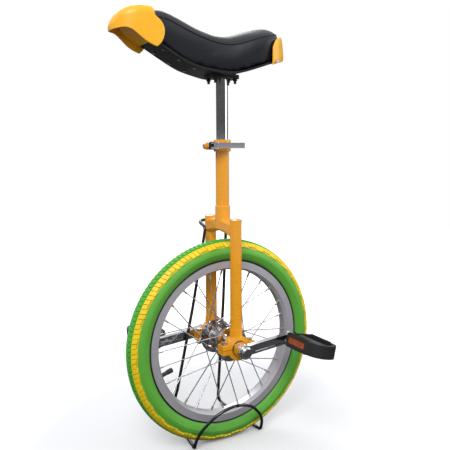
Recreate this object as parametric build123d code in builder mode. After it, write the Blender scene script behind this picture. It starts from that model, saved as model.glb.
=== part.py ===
"""Sixteen-inch unicycle on its wire display stand, in millimetres.

The origin is the point where the tyre touches the ground, under the axle.
+X is forward (the way the saddle nose points), +Y the rider's left, +Z up.
"""
from build123d import *
from math import cos, radians, sin, sqrt
import os

# ---------------------------------------------------------------- driving sizes
# wheel
wheel_radius = 201.5
tyre_radius = 22.3            # half the width of the tyre's round section
tyre_wall = 3.0
bead_seat_radius = 151.2      # 16 inch rim
rim_outer_radius = 160.0
rim_inner_radius = 142.5
rim_half_width = 15.4
rim_wall = 2.2
well_half_width = 8.0
tube_wall = 1.2
tape_thickness = 0.7
spoke_count = 28
spoke_diameter = 2.0
spoke_cross_holes = 2         # flange holes that each spoke leans past
nipple_diameter = 4.0
nipple_length = 12.0
rim_hole_shift = 2.5          # the rim holes lean towards their own flange
valve_diameter = 7.8

# hub, axle and bearings
flange_radius = 34.0
flange_thickness = 3.0
flange_middle_y = 30.0
flange_hole_circle = 29.0
hub_barrel_radius = 15.0
flange_windows = 7
axle_radius = 8.5
bearing_bore_radius = axle_radius + 0.03
bearing_outer_radius = 17.5
bearing_width = 10.0
ball_radius = 2.35
balls_per_bearing = 9
seal_thickness = 1.5
taper_square = 12.7
taper_angle = 2.0

# cranks and pedals
crank_length = 110.0
crank_angle = 5.0             # the left crank points backwards, this much above level
crank_inner_y = 71.0
crank_thickness = 11.0
crank_boss_start_y = 62.0
crank_boss_end_y = 86.0
crank_boss_radius = 14.0
crank_eye_radius = 11.0
crank_arm_width = 18.0
pedal_start_y = 97.0
pedal_length = 91.0
pedal_width = 59.0
pedal_height = 24.0
pedal_wall = 5.0
pedal_pitch_left = 13.0
pedal_pitch_right = -4.0
spindle_radius = 5.5
bushing_radius = 8.0
bushing_length = 14.0
pedal_barrel_radius = 11.0

# frame
leg_spacing_y = 48.5
leg_radius = 11.1
leg_wall = 1.6
leg_top_above_axle = 242.0
crown_gap_over_tyre = 15.5
crown_height_at_tube = 25.0
crown_depth = 24.0
crown_drop_at_leg = 9.0
seat_tube_radius = 12.7
sleeve_radius = 14.2
sleeve_top_above_axle = 266.0
seat_tube_top_above_axle = 391.0
tube_slot_width = 3.0
tube_slot_length = 35.0
holder_middle_y = 50.0
holder_width = 20.0
holder_radius = 23.5
holder_lug_reach = 35.0
holder_bolt_x = 27.8
holder_lug_height = 9.0
holder_split_gap = 1.0
holder_lip = 3.0
bolt_radius = 3.0

# seat clamp
collar_height = 22.0
collar_wall = 3.4
ear_reach = 34.0
ear_thickness = 7.0
ear_gap = 5.0
ear_height = 15.0
skewer_radius = 2.5
skewer_x = 26.5
cam_radius = 8.0
cam_offset = 1.0
cam_height = 12.0
lever_length = 58.0

# seat post and saddle
post_radius = 11.1
post_wall = 1.6
post_showing = 112.0
post_inserted = 76.0
base_thickness = 4.0
cover_skin = 1.4
bumper_wall = 3.6

# display stand
wire_radius = 3.0

# clearances
running_fit = 0.05
slide_fit = 0.1
soft_gap = 0.3
seat_gap = 0.05

# ---------------------------------------------------------------- places
axle_height = wheel_radius
axle_point = Vector(0, 0, axle_height)
axle_line = Axis((0, 0, axle_height), (0, 1, 0))
tyre_ring_radius = wheel_radius - tyre_radius
leg_top = axle_height + leg_top_above_axle
crown_bottom = axle_height + wheel_radius + crown_gap_over_tyre
crown_top = crown_bottom + crown_height_at_tube
sleeve_top = axle_height + sleeve_top_above_axle
tube_top = axle_height + seat_tube_top_above_axle
plate_z = tube_top + post_showing
holder_start_y = holder_middle_y - holder_width / 2
holder_end_y = holder_middle_y + holder_width / 2
spoke_step = 360 / spoke_count
wheel_section = Plane(origin=(0, 0, axle_height), x_dir=(0, 1, 0), z_dir=(1, 0, 0))

os.makedirs("parts", exist_ok=True)


def save(builder, name):
    """Label one finished piece and write its STEP file."""
    builder.part.label = name
    export_step(builder.part, "parts/" + name + ".step")


def across(y, x=0.0, z=axle_height, turn=0.0):
    """Plane facing +Y at a distance y from the middle; turn lifts its -x end."""
    lean = radians(turn)
    return Plane(origin=(x, y, z), x_dir=(cos(lean), 0, -sin(lean)), z_dir=(0, 1, 0))


def ring_across(outer, inner, start_y, end_y):
    """A ring around the axle line between two distances, inside a BuildPart."""
    with BuildSketch(across(start_y)) as ring:
        Circle(outer)
        Circle(inner, mode=Mode.SUBTRACT)
    extrude(ring.sketch, amount=end_y - start_y)


def wheel_point(radius, angle, y):
    """A point of the wheel; angle 0 is forward, 90 up."""
    turn = radians(angle)
    return Vector(radius * cos(turn), y, axle_height + radius * sin(turn))


# ================================================================ wheel
# tyre: a round casing open towards the rim, with two beads inside the rim's flanges
bead_y = rim_half_width - rim_wall - seat_gap
bead_inner_y = bead_y - 3.4
casing_inner_radius = tyre_radius - tyre_wall
outer_rise = sqrt(tyre_radius ** 2 - (rim_half_width - 0.4) ** 2)
inner_rise = sqrt(casing_inner_radius ** 2 - bead_inner_y ** 2)
bead_bottom = bead_seat_radius + seat_gap
flange_clear = rim_outer_radius + 0.4
with BuildPart() as tyre:
    with BuildSketch(wheel_section):
        with BuildLine():
            ThreePointArc(
                (-rim_half_width + 0.4, tyre_ring_radius - outer_rise),
                (0, wheel_radius),
                (rim_half_width - 0.4, tyre_ring_radius - outer_rise),
            )
            Polyline(
                (rim_half_width - 0.4, tyre_ring_radius - outer_rise),
                (bead_y, flange_clear),
                (bead_y, bead_bottom),
                (bead_inner_y, bead_bottom),
                (bead_inner_y, tyre_ring_radius - inner_rise),
            )
            ThreePointArc(
                (bead_inner_y, tyre_ring_radius - inner_rise),
                (0, wheel_radius - tyre_wall),
                (-bead_inner_y, tyre_ring_radius - inner_rise),
            )
            Polyline(
                (-bead_inner_y, tyre_ring_radius - inner_rise),
                (-bead_inner_y, bead_bottom),
                (-bead_y, bead_bottom),
                (-bead_y, flange_clear),
                (-rim_half_width + 0.4, tyre_ring_radius - outer_rise),
            )
        make_face()
    revolve(axis=axle_line, revolution_arc=360)
save(tyre, "tyre")

# spoke geometry, shared by the rim's holes, the nipples and the spokes
well_floor = rim_inner_radius + rim_wall
outside_bend = flange_thickness / 2 + 1.6 * spoke_diameter
inside_bend = flange_thickness / 2 + 1.2 * spoke_diameter
cross_angle = spoke_cross_holes * 360 / (spoke_count / 2)


def spoke_ends(index):
    """Bend point at the flange and seat point in the rim of one spoke."""
    side = 1 if index % 2 == 0 else -1
    pair = index // 2
    outside = 1 if pair % 2 == 0 else -1
    rim_angle = index * spoke_step
    hub_angle = rim_angle + outside * cross_angle
    bend_y = side * (flange_middle_y + (outside_bend if outside > 0 else -inside_bend))
    bend = wheel_point(flange_hole_circle, hub_angle, bend_y)
    seat = wheel_point(well_floor, rim_angle, side * rim_hole_shift)
    return bend, seat, side, outside, hub_angle


def spoke_plane(index, distance):
    """Plane square to a spoke, at a distance past its seat in the rim."""
    bend, seat, side, outside, hub_angle = spoke_ends(index)
    direction = (seat - bend).normalized()
    return Plane(origin=seat + direction * distance, z_dir=direction)


valve_angle = -1.5 * spoke_step
valve_direction = wheel_point(1, valve_angle, 0) - axle_point
nipple_head_radius = nipple_diameter / 2 + 0.8
nipple_head_height = 1.6
head_sink = 0.9

with BuildPart() as rim:
    with BuildSketch(wheel_section):
        with BuildLine():
            Polyline(
                (0, rim_inner_radius),
                (well_half_width, rim_inner_radius),
                (rim_half_width, rim_inner_radius + 4),
                (rim_half_width, rim_outer_radius),
                (rim_half_width - rim_wall, rim_outer_radius),
                (rim_half_width - rim_wall, bead_seat_radius),
                (well_half_width + 1, bead_seat_radius - 1),
                (well_half_width - 0.5, well_floor),
                (0, well_floor),
                close=True,
            )
        make_face()
        mirror(about=Plane.YZ)
    revolve(axis=axle_line, revolution_arc=360)
    for index in range(spoke_count):
        with BuildSketch(spoke_plane(index, -nipple_length)):
            Circle(nipple_diameter / 2 + 0.15)
        extrude(amount=nipple_length + 5, mode=Mode.SUBTRACT)
        with BuildSketch(spoke_plane(index, -head_sink)):
            Circle(nipple_head_radius + 0.15)
        extrude(amount=6, mode=Mode.SUBTRACT)
    with BuildSketch(Plane(origin=wheel_point(rim_inner_radius - 5, valve_angle, 0), z_dir=valve_direction)):
        Circle(valve_diameter / 2 + 0.3)
    extrude(amount=rim_wall + 10, mode=Mode.SUBTRACT)
save(rim, "rim")

# nipples: a head in the rim well and a shank that points at the hub
with BuildPart() as spoke_nipples:
    for index in range(spoke_count):
        with BuildSketch(spoke_plane(index, -head_sink)):
            Circle(nipple_head_radius)
        extrude(amount=nipple_head_height)
        with BuildSketch(spoke_plane(index, -head_sink - nipple_length)):
            Circle(nipple_diameter / 2)
        extrude(amount=nipple_length)
        with BuildSketch(spoke_plane(index, -head_sink - nipple_length)):
            Circle(spoke_diameter / 2 + running_fit)
        extrude(amount=nipple_length - 1, mode=Mode.SUBTRACT)
save(spoke_nipples, "spoke_nipples")


def lace(side_wanted):
    """All spokes of one flange: a head, an elbow through the flange and a straight run."""
    with BuildPart() as spokes:
        for index in range(spoke_count):
            bend, seat, side, outside, hub_angle = spoke_ends(index)
            if side != side_wanted:
                continue
            far_face = side * (flange_middle_y - outside * (flange_thickness / 2 + 0.1))
            start = wheel_point(flange_hole_circle, hub_angle, far_face)
            tip = seat - (seat - bend).normalized() * 3
            with BuildLine():
                path = FilletPolyline(start, bend, tip, radius=spoke_diameter)
            with BuildSketch(Plane(origin=start, z_dir=(0, side * outside, 0))):
                Circle(spoke_diameter / 2)
            sweep(path=path)
            with BuildSketch(Plane(origin=start, z_dir=(0, -side * outside, 0))):
                Circle(spoke_diameter)
            extrude(amount=1.2)
    return spokes


spokes_left = lace(1)
save(spokes_left, "spokes_left")
spokes_right = lace(-1)
save(spokes_right, "spokes_right")

# rim tape: a band over the nipple heads
tape_inner_radius = well_floor + nipple_head_height + 0.8
with BuildPart() as rim_tape:
    with BuildSketch(wheel_section):
        with Locations((0, tape_inner_radius + tape_thickness / 2)):
            Rectangle(2 * (well_half_width - 0.6), tape_thickness)
    revolve(axis=axle_line, revolution_arc=360)
    with BuildSketch(Plane(origin=wheel_point(rim_inner_radius, valve_angle, 0), z_dir=valve_direction)):
        Circle(valve_diameter / 2 + 0.3)
    extrude(amount=15, mode=Mode.SUBTRACT)
save(rim_tape, "rim_tape")

# inner tube: hollow, filling the casing and the rim well down to the tape
tube_floor = tape_inner_radius + tape_thickness + 0.1
tube_neck = bead_inner_y - soft_gap
tube_round = casing_inner_radius - soft_gap


def tube_outline(inset):
    """Outline of the tube's section, moved inwards by inset."""
    neck = tube_neck - inset
    round_radius = tube_round - inset
    rise = sqrt(round_radius ** 2 - neck ** 2)
    floor_half = well_half_width - 1.5 - inset
    floor_r = tube_floor + inset
    with BuildLine() as outline:
        ThreePointArc(
            (-neck, tyre_ring_radius - rise),
            (0, tyre_ring_radius + round_radius),
            (neck, tyre_ring_radius - rise),
        )
        Polyline(
            (neck, tyre_ring_radius - rise),
            (neck, bead_seat_radius + 1),
            (floor_half, floor_r),
            (-floor_half, floor_r),
            (-neck, bead_seat_radius + 1),
            (-neck, tyre_ring_radius - rise),
        )
    return outline.line


with BuildPart() as inner_tube:
    with BuildSketch(wheel_section):
        make_face(tube_outline(0).edges())
        make_face(tube_outline(tube_wall).edges(), mode=Mode.SUBTRACT)
    revolve(axis=axle_line, revolution_arc=360)
save(inner_tube, "inner_tube")

# valve: a rubber-covered stem through the rim, and its cap
valve_reach = 22.0
valve_cap_length = 11.0
valve_top = tube_floor - 0.05
valve_tip = rim_inner_radius - valve_reach
valve_tip_plane = Plane(origin=wheel_point(valve_tip, valve_angle, 0), z_dir=valve_direction)
cap_start = valve_tip - 2.0
with BuildPart() as valve_stem:
    with BuildSketch(valve_tip_plane):
        Circle(valve_diameter / 2 - 1)
    extrude(amount=valve_cap_length)
    with BuildSketch(valve_tip_plane.offset(valve_cap_length - 1)):
        Circle(valve_diameter / 2)
    extrude(amount=valve_top - valve_tip - valve_cap_length + 1)
save(valve_stem, "valve_stem")
with BuildPart() as valve_cap:
    with BuildSketch(Plane(origin=wheel_point(cap_start, valve_angle, 0), z_dir=valve_direction)):
        Circle(valve_diameter / 2 + 0.8)
    extrude(amount=valve_cap_length)
    fillet(valve_cap.faces().sort_by(Axis(axle_point, valve_direction))[0].edges(), 1.2)
    with BuildSketch(valve_tip_plane.offset(-0.05)):
        Circle(valve_diameter / 2 - 1 + running_fit)
    extrude(amount=valve_cap_length, mode=Mode.SUBTRACT)
save(valve_cap, "valve_cap")

# hub: a barrel with two pierced flanges and a nose that reaches each bearing
bearing_start_y = holder_middle_y - bearing_width / 2
bearing_end_y = holder_middle_y + bearing_width / 2
inner_race_radius = 11.4
flange_start = flange_middle_y - flange_thickness / 2
window_circle = (hub_barrel_radius + flange_hole_circle) / 2
window_radius = (flange_hole_circle - hub_barrel_radius) / 2 - 2.2
with BuildPart() as hub_shell:
    with BuildSketch(wheel_section):
        with BuildLine():
            Polyline(
                (0, bearing_bore_radius),
                (bearing_start_y - 0.05, bearing_bore_radius),
                (bearing_start_y - 0.05, inner_race_radius),
                (flange_middle_y + flange_thickness / 2 + 3, inner_race_radius),
                (flange_middle_y + flange_thickness / 2, hub_barrel_radius),
                (flange_middle_y + flange_thickness / 2, flange_radius),
                (flange_start, flange_radius),
                (flange_start, hub_barrel_radius + 3),
                (flange_start - 4, hub_barrel_radius),
                (0, hub_barrel_radius),
                close=True,
            )
        make_face()
        mirror(about=Plane.YZ)
    revolve(axis=axle_line, revolution_arc=360)
    for side in (1, -1):
        with BuildSketch(across(side * flange_middle_y - flange_thickness)):
            with PolarLocations(flange_hole_circle, spoke_count // 2, start_angle=0 if side > 0 else spoke_step):
                Circle(spoke_diameter / 2 + 0.2)
            with PolarLocations(window_circle, flange_windows):
                Circle(window_radius)
        extrude(amount=2 * flange_thickness, mode=Mode.SUBTRACT)
save(hub_shell, "hub_shell")

# axle: round through the hub and bearings, tapered squares for the cranks, threaded tips
square_start_y = holder_end_y + 1
square_length = 16.0
stud_radius = 5.0
stud_length = 8.0
with BuildPart() as axle:
    with BuildSketch(across(0)):
        Circle(axle_radius)
    extrude(amount=square_start_y)
    with BuildSketch(across(square_start_y)):
        Rectangle(taper_square, taper_square)
    extrude(amount=square_length - 1, taper=taper_angle)
    with BuildSketch(across(square_start_y + square_length - 1)):
        Circle(stud_radius)
    extrude(amount=stud_length)
    mirror(about=Plane.XZ)
save(axle, "axle")

# ball bearings, one in each holder
race_split = (inner_race_radius + 14.6) / 2
outer_race_bore = 14.6


def groove_cut():
    """Cut the ball groove out of both races, inside a BuildPart."""
    with BuildSketch(wheel_section) as groove:
        with Locations((holder_middle_y, race_split)):
            Circle(ball_radius + running_fit)
    revolve(groove.sketch, axis=axle_line, revolution_arc=360, mode=Mode.SUBTRACT)


with BuildPart() as bearing_inner_races:
    ring_across(inner_race_radius, bearing_bore_radius, bearing_start_y, bearing_end_y)
    groove_cut()
    mirror(about=Plane.XZ)
save(bearing_inner_races, "bearing_inner_races")

with BuildPart() as bearing_outer_races:
    ring_across(bearing_outer_radius, outer_race_bore, bearing_start_y, bearing_end_y)
    groove_cut()
    mirror(about=Plane.XZ)
save(bearing_outer_races, "bearing_outer_races")

with BuildPart() as bearing_balls:
    with Locations(across(holder_middle_y)):
        with PolarLocations(race_split, balls_per_bearing):
            Sphere(ball_radius)
    mirror(about=Plane.XZ)
save(bearing_balls, "bearing_balls")

with BuildPart() as bearing_seals:
    for seal_y in (bearing_start_y - seal_thickness - 0.05, bearing_end_y + 0.05):
        ring_across(bearing_outer_radius - 0.1, axle_radius + 3.4, seal_y, seal_y + seal_thickness)
    mirror(about=Plane.XZ)
save(bearing_seals, "bearing_seals")

# ================================================================ cranks and pedals
nut_seat_y = square_start_y + square_length
nut_height = 5.0
nut_across = 14.0
counterbore_radius = 11.0
eye_x = crank_length * cos(radians(crank_angle))
eye_z = crank_length * sin(radians(crank_angle))
crank_outer_y = crank_inner_y + crank_thickness
recess_depth = 2.0
with BuildPart() as crank_left:
    with BuildSketch(across(crank_boss_start_y)):
        Circle(crank_boss_radius)
    extrude(amount=crank_boss_end_y - crank_boss_start_y)
    fillet(crank_left.faces().filter_by(Axis.Y).sort_by(Axis.Y)[-1].edges(), 1.5)
    with BuildSketch(across(crank_inner_y, turn=crank_angle)):
        with Locations((-crank_length / 2, 0)):
            Rectangle(crank_length, crank_arm_width)
        with Locations((-crank_length, 0)):
            Circle(crank_eye_radius)
    extrude(amount=crank_thickness)
    with BuildSketch(across(crank_outer_y - recess_depth, turn=crank_angle)):
        with Locations((-crank_length / 2 - 1, 0)):
            SlotOverall(crank_length - crank_boss_radius - crank_eye_radius - 10, crank_arm_width - 7)
    extrude(amount=recess_depth, mode=Mode.SUBTRACT)
    with BuildSketch(across(square_start_y)):
        Rectangle(taper_square + 2 * running_fit, taper_square + 2 * running_fit)
    extrude(amount=square_length, taper=taper_angle, mode=Mode.SUBTRACT)
    with BuildSketch(across(nut_seat_y)):
        Circle(counterbore_radius)
    extrude(amount=crank_boss_end_y - nut_seat_y, mode=Mode.SUBTRACT)
    with BuildSketch(across(crank_inner_y - 1, x=-eye_x, z=axle_height + eye_z)):
        Circle(spindle_radius + 1.6 + running_fit)
    extrude(amount=crank_thickness + 2, mode=Mode.SUBTRACT)
save(crank_left, "crank_left")


def mirrored(piece):
    """The right-hand twin of a left-hand piece."""
    return mirror(piece.part, about=Plane.XZ, mode=Mode.PRIVATE)


def other_side(piece):
    """The right-hand copy of a crank piece: mirrored and turned half round the axle."""
    return mirrored(piece).rotate(axle_line, 180)


with BuildPart() as crank_right:
    add(other_side(crank_left))
save(crank_right, "crank_right")

with BuildPart() as crank_nuts:
    with BuildSketch(across(nut_seat_y + 0.05)):
        Circle(counterbore_radius - 1)
        Circle(stud_radius + running_fit, mode=Mode.SUBTRACT)
    extrude(amount=1.5)
    with BuildSketch(across(nut_seat_y + 1.5)):
        RegularPolygon(nut_across / 2, 6, major_radius=False)
        Circle(stud_radius + running_fit, mode=Mode.SUBTRACT)
    extrude(amount=nut_height)
    mirror(about=Plane.XZ)
save(crank_nuts, "crank_nuts")

# dust caps: a short skirt in the counterbore and a polished dome
cap_skirt = 1.5
dome_height = 5.0
with BuildPart() as crank_caps:
    with BuildSketch(across(crank_boss_end_y - cap_skirt)):
        Circle(counterbore_radius - running_fit)
    extrude(amount=cap_skirt + dome_height)
    fillet(crank_caps.edges().sort_by(Axis.Y)[-1], dome_height - 0.3)
    mirror(about=Plane.XZ)
save(crank_caps, "crank_caps")


# ---------------------------------------------------------------- pedals, built on the left
def pedal_plane(y, pitch=pedal_pitch_left):
    """Plane facing +Y on the left pedal's spindle; its x runs forwards, raised by the pitch."""
    lean = radians(pitch)
    origin = (-eye_x, y, axle_height + eye_z)
    return Plane(origin=origin, x_dir=(cos(lean), 0, sin(lean)), z_dir=(0, 1, 0))


collar_start_y = crank_outer_y
collar_end_y = collar_start_y + 4
pedal_end_y = pedal_start_y + pedal_length
spindle_end_y = pedal_end_y - 12
with BuildPart() as pedal_spindle_left:
    with BuildSketch(pedal_plane(crank_inner_y)):
        Circle(spindle_radius + 1.6)
    extrude(amount=crank_thickness)
    with BuildSketch(pedal_plane(collar_start_y + 0.02)):
        Circle(spindle_radius + 3)
    extrude(amount=collar_end_y - collar_start_y)
    with BuildSketch(pedal_plane(collar_start_y)):
        Circle(spindle_radius)
    extrude(amount=spindle_end_y - collar_start_y)
    with BuildSketch(pedal_plane(spindle_end_y)):
        Circle(3)
    extrude(amount=7)
save(pedal_spindle_left, "pedal_spindle_left")

reflector_length = 46.0
reflector_height = 11.0
reflector_depth = 2.4
reflector_start_y = pedal_start_y + 9.0
tooth_count = 9
tooth_height = 1.6
cage_round = pedal_width / 2 - 3.0
end_recess = 3.0


def tread_plane(height):
    """Plane of the left pedal's tread, raised along the tread's own upward direction."""
    lean = radians(pedal_pitch_left)
    up = Vector(-sin(lean), 0, cos(lean))
    origin = Vector(-eye_x, 0, axle_height + eye_z) + up * height
    return Plane(origin=origin, x_dir=(cos(lean), 0, sin(lean)), z_dir=up)


pedal_middle_y = pedal_start_y + pedal_length / 2
window_length = pedal_length - 2 * pedal_wall - end_recess
with BuildPart() as pedal_body_left:
    # the cage is square beside the crank and round at its outer end
    with BuildSketch(tread_plane(-pedal_height / 2)):
        with Locations((0, pedal_middle_y)):
            Rectangle(pedal_width, pedal_length)
        fillet(vertices().group_by(Axis.Y)[-1], cage_round)
        fillet(vertices().group_by(Axis.Y)[0], 3)
    extrude(amount=pedal_height)
    with BuildSketch(tread_plane(-pedal_height / 2 - 1)):
        with Locations((0, pedal_middle_y - end_recess / 2)):
            Rectangle(pedal_width - 2 * pedal_wall, window_length)
        fillet(vertices().group_by(Axis.Y)[-1], cage_round - pedal_wall)
        fillet(vertices().group_by(Axis.Y)[0], 2)
    extrude(amount=pedal_height + 2, mode=Mode.SUBTRACT)
    # rows of teeth along the top and bottom edges of the front and rear walls
    tooth_pitch = (pedal_length - cage_round - 6) / tooth_count
    for lower in (pedal_height / 2, -pedal_height / 2 - tooth_height):
        with BuildSketch(tread_plane(lower)):
            with Locations((0, pedal_start_y + 3 + tooth_pitch * tooth_count / 2)):
                with GridLocations(pedal_width - pedal_wall, tooth_pitch, 2, tooth_count):
                    Rectangle(pedal_wall - 1.5, tooth_pitch * 0.5)
        extrude(amount=tooth_height)
    # the barrel that turns on the spindle, joined to the cage by a web
    with BuildSketch(pedal_plane(pedal_start_y)):
        Circle(pedal_barrel_radius)
    extrude(amount=pedal_length - pedal_wall)
    with BuildSketch(tread_plane(-3)):
        with Locations((0, pedal_middle_y)):
            Rectangle(pedal_width - pedal_wall, 8)
    extrude(amount=6)
    with BuildSketch(pedal_plane(pedal_start_y - 1)):
        Circle(bushing_radius + running_fit)
    extrude(amount=pedal_length + 2, mode=Mode.SUBTRACT)
    # pockets for the two reflectors
    with BuildSketch(tread_plane(-reflector_height / 2 - running_fit)):
        with Locations((0, reflector_start_y + reflector_length / 2)):
            with GridLocations(pedal_width - reflector_depth, 1, 2, 1):
                Rectangle(reflector_depth + 0.1, reflector_length + 2 * running_fit)
    extrude(amount=reflector_height + 2 * running_fit, mode=Mode.SUBTRACT)
save(pedal_body_left, "pedal_body_left")

with BuildPart() as pedal_reflectors_left:
    with BuildSketch(tread_plane(-reflector_height / 2)):
        with Locations((0, reflector_start_y + reflector_length / 2)):
            with GridLocations(pedal_width - reflector_depth, 1, 2, 1):
                Rectangle(reflector_depth, reflector_length)
    extrude(amount=reflector_height)
save(pedal_reflectors_left, "pedal_reflectors_left")

bushing_starts = (pedal_start_y, spindle_end_y - bushing_length - 1)
with BuildPart() as pedal_bushings_left:
    for start in bushing_starts:
        with BuildSketch(pedal_plane(start)):
            Circle(bushing_radius)
            Circle(spindle_radius + running_fit, mode=Mode.SUBTRACT)
        extrude(amount=bushing_length)
save(pedal_bushings_left, "pedal_bushings_left")

with BuildPart() as pedal_nut_left:
    with BuildSketch(pedal_plane(spindle_end_y + 0.05)):
        RegularPolygon(5, 6, major_radius=False)
        Circle(3 + running_fit, mode=Mode.SUBTRACT)
    extrude(amount=5)
save(pedal_nut_left, "pedal_nut_left")

with BuildPart() as pedal_cap_left:
    with BuildSketch(pedal_plane(pedal_end_y - 3)):
        Circle(bushing_radius)
    extrude(amount=2.5)
    with BuildSketch(pedal_plane(pedal_end_y - pedal_wall)):
        Circle(bushing_radius)
        Circle(bushing_radius - 1, mode=Mode.SUBTRACT)
    extrude(amount=3)
save(pedal_cap_left, "pedal_cap_left")

# the right pedal: the same pieces on the other crank, hanging at its own pitch
right_pedal_line = Axis((eye_x, 0, axle_height - eye_z), (0, 1, 0))
right_pedal_turn = 2 * pedal_pitch_left - 180 - pedal_pitch_left - pedal_pitch_right
for piece, name in (
    (pedal_spindle_left, "pedal_spindle_right"),
    (pedal_body_left, "pedal_body_right"),
    (pedal_reflectors_left, "pedal_reflectors_right"),
    (pedal_bushings_left, "pedal_bushings_right"),
    (pedal_nut_left, "pedal_nut_right"),
    (pedal_cap_left, "pedal_cap_right"),
):
    with BuildPart() as copy:
        add(other_side(piece).rotate(right_pedal_line, right_pedal_turn))
    save(copy, name)

# ================================================================ frame
# bearing holders: a body that grips the bearing from above and a cap bolted from below
holder_inner_y = holder_start_y
bore_radius = bearing_outer_radius + 0.03
lip_radius = bearing_outer_radius - 2.5
socket_height = 12.0
socket_wall = 1.3
holder_top = axle_height + holder_radius + socket_height
leg_bottom = axle_height + holder_radius + 2.0
lug_half = holder_lug_reach


def holder_bore():
    """Cut the bearing's seat and the smaller lip openings, inside a BuildPart."""
    with BuildSketch(wheel_section) as bore:
        with Locations((holder_middle_y, bore_radius / 2)):
            Rectangle(holder_width - 2 * holder_lip, bore_radius)
        with Locations((holder_middle_y, lip_radius / 2)):
            Rectangle(holder_width + 14, lip_radius)
    revolve(bore.sketch, axis=axle_line, revolution_arc=360, mode=Mode.SUBTRACT)


def bolt_holes(start_z, height):
    """Cut the two vertical bolt holes of a holder, inside a BuildPart."""
    with BuildSketch(Plane.XY.offset(start_z)) as holes:
        with Locations((0, holder_middle_y)):
            with GridLocations(2 * holder_bolt_x, 1, 2, 1):
                Circle(bolt_radius + 0.2)
    extrude(holes.sketch, amount=height, mode=Mode.SUBTRACT)


split_top = axle_height + holder_split_gap / 2
split_bottom = axle_height - holder_split_gap / 2
lug_top = split_top + holder_lug_height
lug_bottom = split_bottom - holder_lug_height
with BuildPart() as bearing_holder_left:
    with BuildSketch(across(holder_inner_y)):
        Circle(holder_radius)
        with Locations((0, -holder_lug_height / 2)):
            Rectangle(2 * lug_half, holder_lug_height)
    extrude(amount=holder_width)
    with BuildSketch(Plane.XY.offset(axle_height + bore_radius)):
        with Locations((0, leg_spacing_y)):
            Circle(leg_radius + socket_wall)
    extrude(amount=holder_top - axle_height - bore_radius)
    with BuildSketch(Plane.XY.offset(axle_height - holder_radius - 5)):
        with Locations((0, holder_middle_y)):
            Rectangle(4 * holder_radius, 3 * holder_width)
    extrude(amount=holder_radius + 5 + holder_split_gap / 2, mode=Mode.SUBTRACT)
    holder_bore()
    bolt_holes(axle_height, holder_lug_height + 5)
    with BuildSketch(Plane.XY.offset(leg_bottom)):
        with Locations((0, leg_spacing_y)):
            Circle(leg_radius + seat_gap)
    extrude(amount=socket_height + 2, mode=Mode.SUBTRACT)
save(bearing_holder_left, "bearing_holder_left")

with BuildPart() as bearing_cap_left:
    with BuildSketch(across(holder_inner_y)):
        Circle(holder_radius)
        with Locations((0, holder_lug_height / 2)):
            Rectangle(2 * lug_half, holder_lug_height)
    extrude(amount=holder_width)
    with BuildSketch(Plane.XY.offset(split_bottom)):
        with Locations((0, holder_middle_y)):
            Rectangle(4 * holder_radius, 3 * holder_width)
    extrude(amount=holder_radius + 5, mode=Mode.SUBTRACT)
    holder_bore()
    bolt_holes(lug_bottom - 1, holder_lug_height + 2)
save(bearing_cap_left, "bearing_cap_left")

washer_height = 1.2
head_height = 4.5
nut_thickness = 5.0
bolt_start = lug_bottom - washer_height - nut_thickness - 2.0
bolt_end = lug_top + 0.05


def bolt_spots(height, radius, hole, start_z):
    """A pair of rings on the two bolts of the left holder, inside a BuildPart."""
    with BuildSketch(Plane.XY.offset(start_z)) as rings:
        with Locations((0, holder_middle_y)):
            with GridLocations(2 * holder_bolt_x, 1, 2, 1):
                Circle(radius)
                if hole:
                    Circle(hole, mode=Mode.SUBTRACT)
    extrude(rings.sketch, amount=height)


with BuildPart() as bearing_bolts:
    bolt_spots(bolt_end - bolt_start, bolt_radius, 0, bolt_start)
    with BuildSketch(Plane.XY.offset(bolt_end)):
        with Locations((0, holder_middle_y)):
            with GridLocations(2 * holder_bolt_x, 1, 2, 1):
                RegularPolygon(5, 6, major_radius=False)
    extrude(amount=head_height)
    mirror(about=Plane.XZ)
save(bearing_bolts, "bearing_bolts")

with BuildPart() as bearing_washers:
    bolt_spots(washer_height, 6.0, bolt_radius + 0.1, lug_bottom - 0.05 - washer_height)
    mirror(about=Plane.XZ)
save(bearing_washers, "bearing_washers")

with BuildPart() as bearing_nuts:
    with BuildSketch(Plane.XY.offset(lug_bottom - 0.1 - washer_height - nut_thickness)):
        with Locations((0, holder_middle_y)):
            with GridLocations(2 * holder_bolt_x, 1, 2, 1):
                RegularPolygon(5, 6, major_radius=False)
                Circle(bolt_radius + running_fit, mode=Mode.SUBTRACT)
    extrude(amount=nut_thickness)
    mirror(about=Plane.XZ)
save(bearing_nuts, "bearing_nuts")

for piece, name in (
    (bearing_holder_left, "bearing_holder_right"),
    (bearing_cap_left, "bearing_cap_right"),
):
    with BuildPart() as copy:
        add(mirrored(piece))
    save(copy, name)

# legs: open tubes from the holders up past the crown
with BuildPart() as leg_left:
    with BuildSketch(Plane.XY.offset(leg_bottom + 0.02)):
        with Locations((0, leg_spacing_y)):
            Circle(leg_radius)
            Circle(leg_radius - leg_wall, mode=Mode.SUBTRACT)
    extrude(amount=leg_top - leg_bottom)
save(leg_left, "leg_left")
with BuildPart() as leg_right:
    add(mirrored(leg_left))
save(leg_right, "leg_right")

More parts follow.
